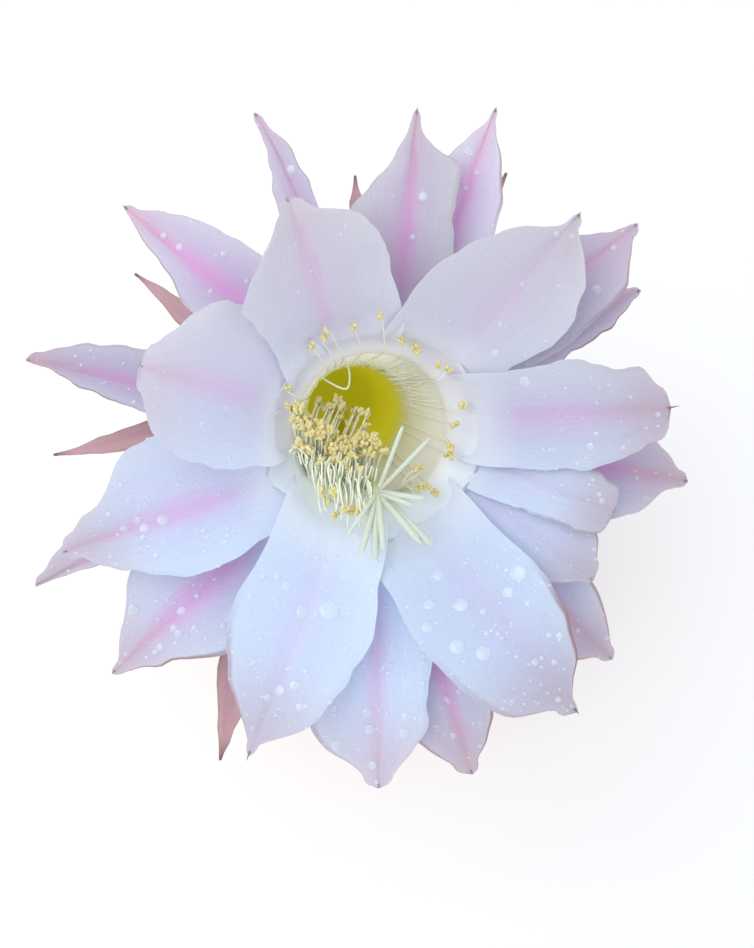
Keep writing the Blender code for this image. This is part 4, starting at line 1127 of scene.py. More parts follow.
SEPALS = {
    "foot": dict(tip=(-31.3, -67.6, -16), rank=9, start=234, end=256, left=5, right=5.6),
    "left_low": dict(tip=(-65.5, -4.9, -10), rank=9, start=174, left=2.4, right=3.4),
    "left_high": dict(tip=(-48.8, 32.3, -9), rank=9, start=154, left=3, right=2.4),
    "top": dict(tip=(-3.5, 52.5, -10), rank=9, left=3, right=3),
    "top_right": dict(tip=(27.6, 53.1, -12), rank=9, left=3.5, right=3.5),
    "right_high": dict(tip=(36.0, 13.0, -20), rank=9, left=4, right=4),
    "right_low": dict(tip=(44.0, -18.0, -20), rank=9, left=4, right=4),
    "bottom_right": dict(tip=(30.0, -42.0, -22), rank=9, left=4, right=4),
    "bottom": dict(tip=(-1.0, -55.0, -22), rank=9, left=4, right=4),
    "left_bottom": dict(tip=(-40.0, -34.0, -22), rank=9, left=4, right=4),
}
# How each petal is coloured: the strength of its midrib streak, of the lilac flush beside it, of the dark
# line along its left and right edges, the length of the point at its tip in millimetres, how light it is
# (partly its own tone and partly painted light and shade, for how it lies to the light), and the streak's
# half width as a share of the blade's. All sepals share one row.
SEPAL_DYES = (0.0, 0.0, 0.4, 0.4, 1.0, 1.0, 0.34)
DYES = {
    "upper_left": (0.5, 0.12, 0, 0, 0.8, 1.02, 0.2),
    "right": (0.45, 0.32, 0.1, 0.1, 2.6, 0.91, 0.34),
    "lower_left": (0.16, 0.1, 0.1, 0.5, 2.2, 1.05, 0.3),
    "left": (0.4, 0.15, 0, 0, 0.8, 1.07, 0.3),
    "lower_right": (0.16, 0.1, 1.0, 0.3, 1.6, 0.93, 0.3),
    "upper_right": (0.25, 0.15, 0, 0, 1.4, 1.0, 0.24),
    "top": (1.0, 0.45, 0.1, 0.3, 1.4, 0.94, 0.26),
    "left_low": (0.7, 0.2, 0.1, 0, 1.0, 1.06, 0.32),
    "bottom": (0.5, 0.1, 0.1, 0.4, 0.8, 1.15, 0.28),
    "right_low": (0.1, 0.1, 0.3, 0.5, 0.5, 1.0, 0.34),
    "right_lower": (0.1, 0.15, 0.5, 0.5, 0.5, 1.02, 0.34),
    "left_bottom": (0.9, 0.35, 0.9, 0.1, 1.0, 1.06, 0.34),
    "top_right": (0.9, 0.28, 0.1, 0.7, 1.4, 1.2, 0.4),
    "right_high": (0.6, 0.3, 0.2, 0.6, 1.2, 1.0, 0.34),
    "bottom_right": (0.95, 0.3, 0.9, 0.6, 1.0, 1.0, 0.3),
    "left_high": (1.0, 0.5, 0.6, 0.1, 1.4, 1.07, 0.4),
    "right_point": (0.95, 0.5, 0.1, 0.1, 1.0, 0.98, 0.34),
    "left_point": (0.8, 0.6, 0.9, 0.2, 0.9, 0.84, 0.34),
    "top_left": (0.7, 0.35, 0.3, 0.5, 1.2, 1.0, 0.34),
    "left_tail": (0.85, 0.4, 0.8, 0.1, 1.0, 1.0, 0.34),
    "right_bottom": (0.75, 0.3, 0.7, 0.7, 0.6, 1.0, 0.34),
    "right_shoulder": (0.5, 0.25, 0.2, 1.0, 1.0, 1.0, 0.34),
    "bottom_hidden": (0.5, 0.2, 0.3, 0.3, 0.8, 1.0, 0.34),
}


def face_point(right, up, forward):
    """A point of the bloom, given where it is seen in the face's plane and how far forward it stands."""
    drawn_in = 1 - forward * MM / SEEN_FROM
    return BLOOM_CENTRE + (RIGHT * right + UP * up) * drawn_in * MM + FACING * forward * MM


def ring_direction(bearing):
    """Outwards from the mouth's axis, at a bearing measured in the face's plane."""
    out = RIGHT * math.cos(bearing) + UP * math.sin(bearing)
    return (out - MOUTH_AXIS * out.dot(MOUTH_AXIS)).normalized()


def mouth_point(radius, bearing, depth):
    """A point of the throat, that far from the mouth's axis and below its rim."""
    return BLOOM_CENTRE + ring_direction(bearing) * radius - MOUTH_AXIS * depth


def eased(stations, values, s):
    """A smooth curve through the values at the stations."""
    i = max(k for k in range(len(stations) - 1) if stations[k] <= s or k == 0)
    step = stations[i + 1] - stations[i]
    u = (s - stations[i]) / step
    slopes = []
    for k in (i, i + 1):
        low, high = max(0, k - 1), min(len(stations) - 1, k + 1)
        slopes.append((values[high] - values[low]) / (stations[high] - stations[low]) * step)
    rise = values[i + 1] - values[i]
    bend = slopes[0] * u * (1 - u) ** 2 - slopes[1] * u * u * (1 - u)
    return values[i] + rise * u * u * (3 - 2 * u) + bend


def edge_of(side):
    """A blade's half widths at the edge stations, worked out for a plain blade."""
    return side if isinstance(side, tuple) else [side * share for share in LANCE]


class Tepal:
    """A petal or a sepal: its path from the collar to its tip, and the surface round that path."""

    def __init__(self, seed, tip, rank, left, right, roll=0, start=None, end=None):
        self.seed = seed
        self.left = edge_of(left)
        self.right = edge_of(right)
        self.base_share = min(0.8, MOUTH_RADIUS * 1.25 / MM / (max(self.left) + max(self.right)))
        self.roll = math.radians(roll)
        seen = math.atan2(tip[1], tip[0])
        start = seen if start is None else math.radians(start)
        end = seen if end is None else math.radians(end)
        depth = (rank + 0.5) * RANK_STEP
        rise = math.radians(mix(*RISE, min(1.0, rank / OUTERMOST)))
        droop = math.radians(mix(*DROOP, min(1.0, rank / OUTERMOST)))
        root = mouth_point(tube_outside(depth) + GAP + COLLAR_WALL / 2, start, depth)
        point = face_point(*tip)
        handle = (point - root).length * HANDLE_SHARE
        self.length = (point - root).length * LENGTH_SHARE
        leave = ring_direction(start) * math.cos(rise) + MOUTH_AXIS * math.sin(rise)
        out = RIGHT * math.cos(end) + UP * math.sin(end)
        arrive = out * math.cos(droop) + FACING * math.sin(droop)
        self.path = (root, root + leave * handle, point - arrive * handle, point)

    def half_width(self, s, t):
        """How far the blade reaches to the left (t above 0) or right of its midrib."""
        widths = self.left if t > 0 else self.right
        first, last = EDGE_STATIONS[0], EDGE_STATIONS[-1]
        if s < first:
            half = mix(self.base_share * max(widths), widths[0], math.sin(math.pi / 2 * s / first))
        elif s > last:
            past = (s - last) / (1 - last)
            half = widths[-1] * math.sqrt(max(0.0, 1 - past * past))
        else:
            half = eased(EDGE_STATIONS, widths, s)
        place = Vector((s * 16, 3 if t > 0 else 9, self.seed * 2.3))
        half += FRAY * noise.noise(place) * smooth((s - 0.3) * 3) * min(1.0, half / 2)
        return max(TIP_HALF, half) * MM

    def relief(self, s, t):
        """How far the surface stands off the blade's even curve."""
        grown = smooth(s / 0.35)
        dip = -MIDRIB_DIP * math.exp(-((t / 0.11) ** 2)) * grown * (1 - smooth((s - 0.8) * 5))
        pleats = PLEAT * math.cos(19 * t + self.seed) * grown * (1 - abs(t))
        waves = noise.noise(Vector((s * 5.5, t * 1.3, self.seed * 3.1)))
        ruffle = RUFFLE * waves * smooth((s - 0.3) * 2) * t * t
        swell = SWELL * noise.noise(Vector((s * 2.2, t * 0.9, self.seed * 7.7))) * grown
        return dip + pleats + ruffle + swell

    def point(self, s, t):
        """The blade's middle surface: s runs from base to tip, t from -1 at its right edge to 1."""
        slope = bezier_slope(self.path, s)
        axis = mix(MOUTH_AXIS, FACING, s)
        side = axis.cross(slope).normalized()
        side = Quaternion(slope, self.roll * smooth(s / 0.6)) @ side
        normal = slope.cross(side)
        offset = t * self.half_width(s, t)
        curl = mix(1 / CURL_RADII[0], 1 / CURL_RADII[1], smooth(s * 1.6))
        rest = bezier(self.path, s) + side * offset + normal * offset * offset * curl
        return rest + normal * self.relief(s, t) * min(1.0, self.half_width(s, t) / (3 * MM))


BLADE_VALUES = ("streak", "flush", "rim", "under", "tone", "girth")


def blade(bm, layers, tepal, dyes, rows, columns):
    """Adds one closed blade to a mesh, with its UV maps and its colour strengths on it."""
    streak, flush, dark_left, dark_right, tone, girth = dyes
    nudge = 0.004
    grids = ([], [])
    for i in range(rows + 1):
        s = 1 - (1 - i / rows) ** 1.15
        top, under = [], []
        for j in range(columns + 1):
            t = math.sin(math.pi / 2 * (2 * j / columns - 1))
            along = tepal.point(min(1, s + nudge), t) - tepal.point(max(0, s - nudge), t)
            across = tepal.point(s, min(1, t + nudge)) - tepal.point(s, max(-1, t - nudge))
            normal = along.cross(across).normalized()
            middle = tepal.point(s, t)
            thick = mix(BLADE_MIDDLE, BLADE_EDGE, abs(t) ** 1.5) * mix(1, 0.6, s) / 2
            flat = (t * tepal.half_width(s, t) / MM, s * tepal.length / MM)
            rim = max(0, t) * dark_left + max(0, -t) * dark_right
            for side, row in ((1, top), (-1, under)):
                vertex = bm.verts.new(middle + normal * thick * side)
                numbers = (streak, flush, rim, 0 if side > 0 else 1, tone, girth)
                for label, number in zip(BLADE_VALUES, numbers):
                    vertex[layers[label]] = number
                row.append((vertex, (t / 2 + 0.5, s), flat))
        grids[0].append(top)
        grids[1].append(under)

    def face(*corners):
        corners = corners[::-1]
        made = bm.faces.new([corner[0] for corner in corners])
        for loop, corner in zip(made.loops, corners):
            loop[layers["blade"]].uv = corner[1]
            loop[layers["cloth"]].uv = (corner[2][0] + 100 * tepal.seed, corner[2][1])

    top, under = grids
    for i in range(rows):
        for j in range(columns):
            face(top[i][j], top[i][j + 1], top[i + 1][j + 1], top[i + 1][j])
            face(under[i + 1][j], under[i + 1][j + 1], under[i][j + 1], under[i][j])
        face(under[i][0], top[i][0], top[i + 1][0], under[i + 1][0])
        face(top[i][columns], under[i][columns], under[i + 1][columns], top[i + 1][columns])
    for j in range(columns):
        face(under[0][j], under[0][j + 1], top[0][j + 1], top[0][j])
        face(top[rows][j], top[rows][j + 1], under[rows][j + 1], under[rows][j])


PETAL_GLOW = 0.14  # how strongly a petal glows as painted light, in place of the light that comes through a thin petal from behind
PETAL_SHADE = 0.88
WHITE_FAIR = (0.53, 0.53, 0.60)
WHITE_LIT_BLUE = (0.51, 0.61, 0.79)
PINK_FAIR = (0.49, 0.47, 0.59)
PINK_LIT_BLUE = (0.52, 0.58, 0.73)
FLUSH_LILAC = (0.54, 0.35, 0.60)
STREAK_LILAC = (0.64, 0.31, 0.60)
STREAK_END = (0.56, 0.27, 0.36)
TIP_PINK = (0.60, 0.34, 0.42)
VEIN_BLUE = (0.44, 0.44, 0.60)
THROAT_FAIR = (0.63, 0.62, 0.70)
BASE_LIT_BLUE = (0.65, 0.73, 0.84)
TIP_GREY = (0.42, 0.35, 0.38)
BACK_BROWN = (0.36, 0.24, 0.22)
EDGE_BROWN = (0.19, 0.09, 0.07)


def petal_finish(name, fair, foot):
    """Satin petal skin: fair towards the top of the bloom and foot towards its lower side, a painted tint of
    the light.
    """
    silk = Finish(
        name, 0.5, Subsurface_Weight=0.35, Subsurface_Radius=(1.0, 0.75, 0.9), Subsurface_Scale=1.2 * MM,
        Specular_IOR_Level=0.3,
    )
    uv = add(silk.tree, "ShaderNodeSeparateXYZ", {0: silk.map("blade")}).outputs
    reach, off_axis = uv["Y"], silk.off_middle(uv["X"])
    streak, flush, rim, under, tone, girth = (silk.carried(label) for label in BLADE_VALUES)
    veins = silk.grain(silk.stretched(silk.map("cloth"), (2.6, 0.09, 1)), 1.0, 4, 0.6)
    fine = silk.grain(silk.stretched(silk.map("cloth"), (7.0, 0.5, 1)), 1.0, 3, 0.3)
    feathered = silk.sum_of("ADD", off_axis, silk.sum_of("MULTIPLY_ADD", veins, 0.3, -0.15))
    # Greyer lilac towards the bloom's top and bluer towards its lower side: a painted tint of the light that
    # falls there, not the petals' own colour.
    centre_height = BLOOM_CENTRE.dot(UP)
    lower = silk.span(silk.along(UP), centre_height + 35 * MM, centre_height - 30 * MM)
    colour = silk.dyed(fair, foot, lower)
    wide = silk.times(silk.span(feathered, 0.85, 0.1), silk.span(reach, 1.0, 0.35, 0.35, 1), flush)
    colour = silk.dyed(colour, FLUSH_LILAC, wide)
    core = silk.times(silk.span(feathered, girth, 0.0), silk.span(reach, 0.12, 0.5), streak, 0.68)
    pink = silk.dyed(STREAK_LILAC, STREAK_END, silk.span(reach, 0.62, 0.97))
    colour = silk.dyed(colour, pink, core)
    colour = silk.dyed(colour, TIP_PINK, silk.times(silk.span(reach, 0.75, 1.02), flush, 0.9))
    colour = silk.dyed(colour, VEIN_BLUE, silk.span(veins, 0.58, 0.8, 0, 0.16))
    # Near the base, cream that takes on the same painted blue tint on the lower side.
    near = silk.dyed(THROAT_FAIR, BASE_LIT_BLUE, lower)
    colour = silk.dyed(colour, near, silk.span(reach, 0.36, 0.1))
    greyed = silk.times(silk.span(reach, 0.6, 0.97), silk.span(lower, 0, 1, 0.2, 0.65))
    colour = silk.dyed(colour, TIP_GREY, greyed)
    colour = silk.stretched(silk.stretched(colour, tone), (PETAL_SHADE,) * 3)
    # Painted glow: strongest near the base, where it lifts the shade between the blades, and weaker on their
    # undersides.
    glow = silk.times(silk.span(reach, 0.15, 0.75, 1.9, 0.7), silk.span(under, 0, 1, 1, 0.35))
    silk.paint_glow(silk.stretched(colour, glow), PETAL_GLOW)
    belly = silk.times(under, flush, silk.span(feathered, 0.95, 0.2), 0.9)
    colour = silk.dyed(colour, BACK_BROWN, belly)
    edge = silk.times(silk.span(off_axis, 0.88, 0.955), rim, silk.span(reach, 0.45, 0.75))
    colour = silk.dyed(colour, EDGE_BROWN, edge)
    silk.wear(colour, (veins, 0.42, 0.6), (silk.blend(veins, fine, 0.65), 0.16 * MM))
    return silk.material


def petal_mesh(name, table, number, finish, rows, columns):
    """All blades of one table as a mesh, with the numbers of their seeds starting from number."""
    bm = bmesh.new()
    layers = {label: bm.verts.layers.float.new(label) for label in BLADE_VALUES}
    layers |= {label: bm.loops.layers.uv.new(label) for label in ("blade", "cloth")}
    tips = []
    for i, (label, row) in enumerate(table.items()):
        tepal = Tepal(number + i, **row)
        *dyes, tip, tone, girth = SEPAL_DYES if table is SEPALS else DYES[label]
        blade(bm, layers, tepal, (*dyes, tone, girth), rows, columns)
        way = (bezier_slope(tepal.path, 1) + UP * 0.1).normalized()
        start = tepal.point(0.985, 0)
        tips.append([(start + way * tip * share * MM, mix(1, 0.12, share)) for share in (0, 0.35, 0.7, 1)])
    return built(name, bm, finish), tips


SEPAL_PINK = (0.58, 0.36, 0.40)
SEPAL_BROWN = (0.44, 0.25, 0.28)
SEPAL_FOOT = (0.20, 0.24, 0.08)
SEPAL_POINT = (0.13, 0.08, 0.05)
SEPAL_EDGE = (0.30, 0.26, 0.12)


def sepal_finish():
    """Brown pink, green at the foot and darker at the point and along the edges."""
    leaf = Finish("sepal_brown", 0.6, Subsurface_Weight=0.1, Subsurface_Scale=0.5 * MM)
    uv = add(leaf.tree, "ShaderNodeSeparateXYZ", {0: leaf.map("blade")}).outputs
    fibre = leaf.grain(leaf.stretched(leaf.map("cloth"), (5.0, 0.25, 1)), 1.0, 4)
    colour = leaf.dyed(SEPAL_PINK, SEPAL_BROWN, fibre)
    colour = leaf.dyed(colour, SEPAL_FOOT, leaf.span(uv["Y"], 0.45, 0.05))
    colour = leaf.dyed(colour, SEPAL_POINT, leaf.span(uv["Y"], 0.88, 1.0, 0, 0.7))
    colour = leaf.dyed(colour, SEPAL_EDGE, leaf.span(leaf.off_middle(uv["X"]), 0.75, 1.0, 0, 0.6))
    leaf.wear(colour, None, (fibre, 0.2 * MM))
    return leaf.material


white = petal_finish("petal_white", WHITE_FAIR, WHITE_LIT_BLUE)
pink = petal_finish("petal_pink", PINK_FAIR, PINK_LIT_BLUE)
brown = sepal_finish()
inner_blades, inner_tips = petal_mesh("inner_petals", PETALS, 1, white, BLADE_ROWS, BLADE_COLUMNS)
outer_blades, outer_tips = petal_mesh("outer_petals_fine", OUTER_PETALS, 21, pink, BLADE_ROWS, BLADE_COLUMNS)
sepal_blades, sepal_tips = petal_mesh("sepal_blades", SEPALS, 41, brown, SEPAL_ROWS, SEPAL_COLUMNS)

# The petals' bases grow together into one skin, which leaves the tube's wall and runs out over the blades.
LIP_SIDES = 180
LIP_FOOT = 5  # how far down the wall it starts, and how far up it ends, in millimetres
LIP_END = 7
LIP_OPENS = 3  # how far up it reaches the petals
LIP_WIDEST = 22.5  # where a petal lies flatter than that, it ends earlier
LIP_FEELS_FROM = 12  # where the rays start that feel for the petals, from the mouth's axis
LIP_FEELS_FOR = 20
# The strength of the lip's painted glow, in place of light that comes through it
LIP_GLOW = 0.14
LIP_WALL = 0.3
# How far each of its rings stands off the wall or the petals, from its foot up, in millimetres
LIP_STANDS = (-0.6, -0.15, 0, 0.08, 0.12, 0.12, 0.12, 0.14, 0.14, 0.1, 0.03, -0.08, -0.4)


def surface_of(piece):
    """A piece's faces, to be hit by rays."""
    places = [vertex.co.copy() for vertex in piece.data.vertices]
    return BVHTree.FromPolygons(places, [tuple(polygon.vertices) for polygon in piece.data.polygons])


blades_inside = surface_of(inner_blades)
lip_ways = circle(Vector(), MOUTH_AXIS, 1, LIP_SIDES)


def petal_reaches(rise):
    """How far from the mouth's axis the petals stand, all round, at a height above the wall's top."""
    found = []
    for out in lip_ways:
        start = BLOOM_CENTRE + (MOUTH_AXIS * rise + out * LIP_FEELS_FROM) * MM
        hit = blades_inside.ray_cast(start, out, LIP_FEELS_FOR * MM)
        found.append(LIP_FEELS_FROM + hit[3] / MM if hit[3] else None)
    known = [reach for reach in found if reach]
    found = [reach or max(known) for reach in found]
    return [sum(found[(j + k) % LIP_SIDES] for k in (-2, -1, 0, 1, 2)) / 5 for j in range(LIP_SIDES)]


lip_top = tube_inside(0) / MM
lip_reaches = [petal_reaches(rise) for rise in range(LIP_OPENS, LIP_END + 1)]
lip_ends = []
for j in range(LIP_SIDES):
    narrow = [LIP_OPENS + k for k, reaches in enumerate(lip_reaches) if reaches[j] < LIP_WIDEST]
    lip_ends.append(max(narrow, default=LIP_OPENS))
lip_ends = [sum(lip_ends[(j + k) % LIP_SIDES] for k in range(-3, 4)) / 7 for j in range(LIP_SIDES)]
lip_rings, lip_rises, lip_backs = [], [], []
for rise in range(-LIP_FOOT, LIP_END + 1):
    ring, back = [], []
    for j, out in enumerate(lip_ways):
        level = rise if rise < 0 else rise / LIP_END * lip_ends[j]
        if level > 0:
            step = min(LIP_END - LIP_OPENS - 1, max(0, int(level) - LIP_OPENS))
            share = max(0, level - LIP_OPENS - step)
            reach = mix(lip_reaches[step][j], lip_reaches[step + 1][j], share)
            reach = mix(lip_top, reach, min(1, level / LIP_OPENS) ** 0.9)
        else:
            reach = tube_inside(-level * MM) / MM
        reach -= LIP_STANDS[rise + LIP_FOOT]
        middle = BLOOM_CENTRE + MOUTH_AXIS * level * MM
        ring.append(middle + out * reach * MM)
        back.append(middle + out * (reach + LIP_WALL) * MM)
    lip_rings.append(ring)
    lip_backs.append(back)
    lip_rises.append([float(rise)] * LIP_SIDES)
lip_rings += lip_backs[-2:0:-1]
lip_rises += lip_rises[-2:0:-1]


LIP_FAIR = (0.59, 0.58, 0.66)
LIP_LIT_BLUE = (0.66, 0.73, 0.80)
LIP_GLOW_TINT = (0.90, 0.90, 0.85)


def lip_finish():
    """Cream at the foot, where it meets the tube, and the petals' colours with their painted tint of the
    light where it meets them. It glows a little as painted light.
    """
    lip = Finish("petal_base", 0.5, Specular_IOR_Level=0.3)
    rise = lip.carried("rise")
    # Bluer towards the lower side: the same painted tint of the light as on the petals.
    centre_height = BLOOM_CENTRE.dot(UP)
    lower = lip.span(lip.along(UP), centre_height + 12 * MM, centre_height - 20 * MM)
    skin = lip.dyed(LIP_FAIR, LIP_LIT_BLUE, lower)
    lip.wear(lip.dyed(CREAM, skin, lip.span(rise, -3, 4)), None, (lip.grain(lip.place(), 260, 4), 0.1 * MM))
    # Painted glow: over the lip where it meets the petals, and more on its upper left side near the rim.
    thin = lip.times(lip.span(lip.along(GLOW_SIDE), GLOW_FROM, GLOW_TO, 0.02, 0.16), lip.span(rise, 5, 0))
    glow = lip.sum_of("ADD", thin, lip.span(rise, -1, 3, 0, LIP_GLOW))
    lip.paint_glow(lip.dyed(LIP_GLOW_TINT, skin, lip.span(rise, -1, 3)), glow)
    return lip.material


lip = skin_of("petal_lip", lip_rings, lip_finish(), {"rise": lip_rises}, ends=False)


HUSK_DARK = (0.12, 0.07, 0.05)
HUSK_PALE = (0.36, 0.28, 0.2)


def dried_point():
    """The dry brown points that the tepals end in."""
    husk = Finish("petal_point", 0.6)
    shade = husk.grain(husk.place(), 900)
    husk.wear(husk.dyed(HUSK_DARK, HUSK_PALE, shade), None, (shade, 0.05 * MM))
    return husk.material


dried = dried_point()
for name, tips, node, slot in (
    ("petal_points", inner_tips, "petals", "petal_white"),
    ("outer_points", outer_tips, "outer_petals", "petal_pink"),
    ("sepal_points", sepal_tips, "sepals", "sepal"),
):
    points = strung(name, tips, POINT_RADIUS, 6, dried)
    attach(points, "root")
    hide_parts(node)
for piece, node, slot in (
    (inner_blades, "petals", "petal_white"),
    (lip, "petals", "petal_white"),
    (outer_blades, "outer_petals", "petal_pink"),
    (sepal_blades, "sepals", "sepal"),
):
    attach(piece, "root")
    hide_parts(node)


# Stamens: fine pale filaments rooted in the throat's wall. Some spread in a ring over the petals' bases, and
# the rest stand in a leaning bundle at the lower left. Each ends in a crumpled cream anther full of pollen.
FILAMENT_RADIUS = 0.24 * MM
ANTHER_LENGTH = 2.0 * MM
ANTHER_RADIUS = 0.5 * MM
# Where each anther of the ring is seen, just clear of the petals: right, up and forward, in millimetres
RING_ANTHERS = (
    (-10.1, 17.7, 16.6), (-12.0, 16.1, 16.3), (-3.7, 20.6, 16.7), (-8.7, 19.8, 18.2), (2.1, 22.7, 19),
    (6.8, 18.1, 10.8), (9.5, 16.1, 8), (14.0, 12.8, 5.4), (15.3, 12.0, 4.9), (18.1, 4.5, 2.8),
    (17.3, 1.0, 1.8), (15.7, -3.1, 0.2), (16.1, -5.6, 0), (12.8, -12.2, 0), (9.7, -12.2, -0.5),
    (-17.5, 7.8, 12.4), (-16.1, 3.9, 9.5),
)
RING_FOOT = 17 * MM
FRINGE_COUNT = 150
FRINGE_BEARINGS = (-10, 205)
FRINGE_THICKEST = 100
FRINGE_FEET = (13, 18.5)  # how deep its hairs start, and how deep they end, in millimetres
FRINGE_ENDS = (1, 11)
FRINGE_RADIUS = 0.1 * MM
# Where the filament that loops across the throat is seen, by the same measures as the anthers
LOOP_SPOTS = ((-11.5, 11.8, -4), (-8.5, 9.6, 1), (-5.2, 8.4, 3), (-4.6, 11.5, 1), (-5.4, 14.2, -2))
LOOP_THICKNESS = 0.85
# The crumpled outline of a pollen sac: how thick it is at each share of its length
SAC_OUTLINE = ((0, 0.4), (0.15, 0.9), (0.32, 1.1), (0.5, 0.75), (0.68, 1.05), (0.85, 0.9), (1, 0.35))
# Groups that stand in the throat. Each pair holds the first one's value and the last one's: the bearings and
# depths of their feet, and where their anthers are seen (right, up and forward). Spread is how far an anther
# may stray from its place, curl how much its filament winds, and pollen the share that still bear an anther.
# Bearings in degrees, lengths in millimetres.
STAMEN_GROUPS = {
    "left": dict(
        count=50, bearings=(206, 244), depths=(3, 4.6), right=(-16.5, -5), up=(4, -6), forward=(10, 6),
        spread=2.4, curl=0.5, pollen=1.0,
    ),
    "middle": dict(
        count=44, bearings=(238, 274), depths=(3.4, 4.2), right=(-8.5, 1.6), up=(-5, -2.6), forward=(6, 5),
        spread=2.2, curl=0.3, pollen=1.0,
    ),
    "low": dict(
        count=60, bearings=(216, 268), depths=(0, -1), right=(-14, 0.5), up=(-5, -9), forward=(8, 8),
        spread=2.2, curl=0.35, pollen=0.25,
    ),
    "deep": dict(
        count=18, bearings=(200, 252), depths=(5, 6), right=(-11, -1), up=(6, 1), forward=(-6, -4),
        spread=2.4, curl=0.4, pollen=1.0,
    ),
    "hanging": dict(
        count=36, bearings=(222, 264), depths=(3, 3), right=(-12, 1), up=(-14, -19), forward=(7, 8),
        spread=3.0, curl=0.9, pollen=0.3,
    ),
    "curled": dict(
        count=9, bearings=(196, 222), depths=(2, 3), right=(-16.5, -12.5), up=(-2, -7), forward=(9, 8),
        spread=1.5, curl=3.0, pollen=0.5,
    ),
    "right": dict(
        count=4, bearings=(292, 304), depths=(3.5, 3.5), right=(8, 12), up=(-9, -11), forward=(3, 2),
        spread=2.0, curl=0.8, pollen=1.0,
    ),
}


def filament(root, bend, tip, draw, curl, points=16):
    """A strand through three control points that winds by curl millimetres about its way."""
    waver = Vector((draw.uniform(-1, 1), draw.uniform(-1, 1), draw.uniform(-1, 1))) * curl * MM
    strand = []
    for i in range(points):
        s = i / (points - 1)
        place = root.lerp(bend, s).lerp(bend.lerp(tip, s), s) + waver * math.sin(math.pi * 2 * s) * s * 1.3
        strand.append((place, mix(1.1, 0.8, s)))
    return strand


def anther(tip, way, draw, size=1.0):
    """The two crumpled pollen sacs at a filament's end, as a strand each."""
    lean = Vector((draw.uniform(-1, 1), draw.uniform(-1, 1), draw.uniform(-1, 1))) * 0.9
    way = (way + lean).normalized()
    apart = about(way, draw) * ANTHER_RADIUS * size
    sacs = []
    for side in (-1, 1):
        bend = about(way, draw) * draw.uniform(0.3, 1.1)
        length = ANTHER_LENGTH * size * draw.uniform(0.6, 1.2)
        strand = []
        for s, thickness in SAC_OUTLINE:
            place = tip + apart * side * 0.8 + way * length * (s - 0.3) + bend * length * (s - 0.5) ** 2
            strand.append((place, thickness * size * draw.uniform(0.7, 1.25)))
        sacs.append(strand)
    return sacs


def stamen_foot(bearing, depth):
    """A point just off the throat's wall."""
    return mouth_point(tube_inside(depth) - 0.1 * MM, bearing, depth)


FILAMENT_FOOT = (0.84, 0.88, 0.70)
FILAMENT_TOP = (0.85, 0.87, 0.68)
FILAMENT_SHADE = (0.76, 0.80, 0.62)


def filament_finish():
    """Pale yellow green, a little paler towards the anther."""
    thread = Finish(
        "filament", 0.45, Subsurface_Weight=0.3, Subsurface_Radius=(1, 1, 0.7), Subsurface_Scale=0.6 * MM
    )
    shade = thread.grain(thread.place(), 300)
    along = thread.span(thread.carried("along"), 0.0, 0.6)
    colour = thread.dyed(FILAMENT_FOOT, FILAMENT_TOP, along)
    colour = thread.dyed(colour, FILAMENT_SHADE, thread.span(shade, 0.3, 0.7, 0, 0.6))
    thread.wear(colour, (shade, 0.4, 0.55))
    return thread.material


FRINGE_CREAM = (0.96, 0.96, 0.82)
FRINGE_WHITE = (0.98, 0.98, 0.92)
FRINGE_GLOW = (0.96, 0.96, 0.84, 1)


def fringe_finish():
    """Nearly white, with a faint painted glow in place of the light that thin hairs let through."""
    wisp = Finish(
        "fringe", 0.6, Subsurface_Weight=0.5, Subsurface_Radius=(1, 1, 0.8), Subsurface_Scale=0.8 * MM
    )
    wisp.wear(wisp.dyed(FRINGE_CREAM, FRINGE_WHITE, wisp.grain(wisp.place(), 500)))
    wisp.paint_glow(FRINGE_GLOW, 0.1)
    return wisp.material


POLLEN_YELLOW = (0.74, 0.62, 0.22)
POLLEN_PALE = (0.84, 0.78, 0.44)
POLLEN_HOLLOWS = (0.58, 0.40, 0.10)


def pollen_finish():
    """Crumbly yellow pollen with browner hollows."""
    pollen = Finish(
        "anther", 0.85, Subsurface_Weight=0.2, Subsurface_Radius=(1, 0.9, 0.5), Subsurface_Scale=0.4 * MM
    )
    lumps = pollen.grain(pollen.place(), 2200, 3)
    colour = pollen.dyed(POLLEN_YELLOW, POLLEN_PALE, pollen.grain(pollen.place(), 420))
    colour = pollen.dyed(colour, POLLEN_HOLLOWS, pollen.span(lumps, 0.55, 0.75, 0, 0.6))
    pollen.wear(colour, (lumps, 0.75, 0.95), (lumps, 0.4 * MM))
    return pollen.material


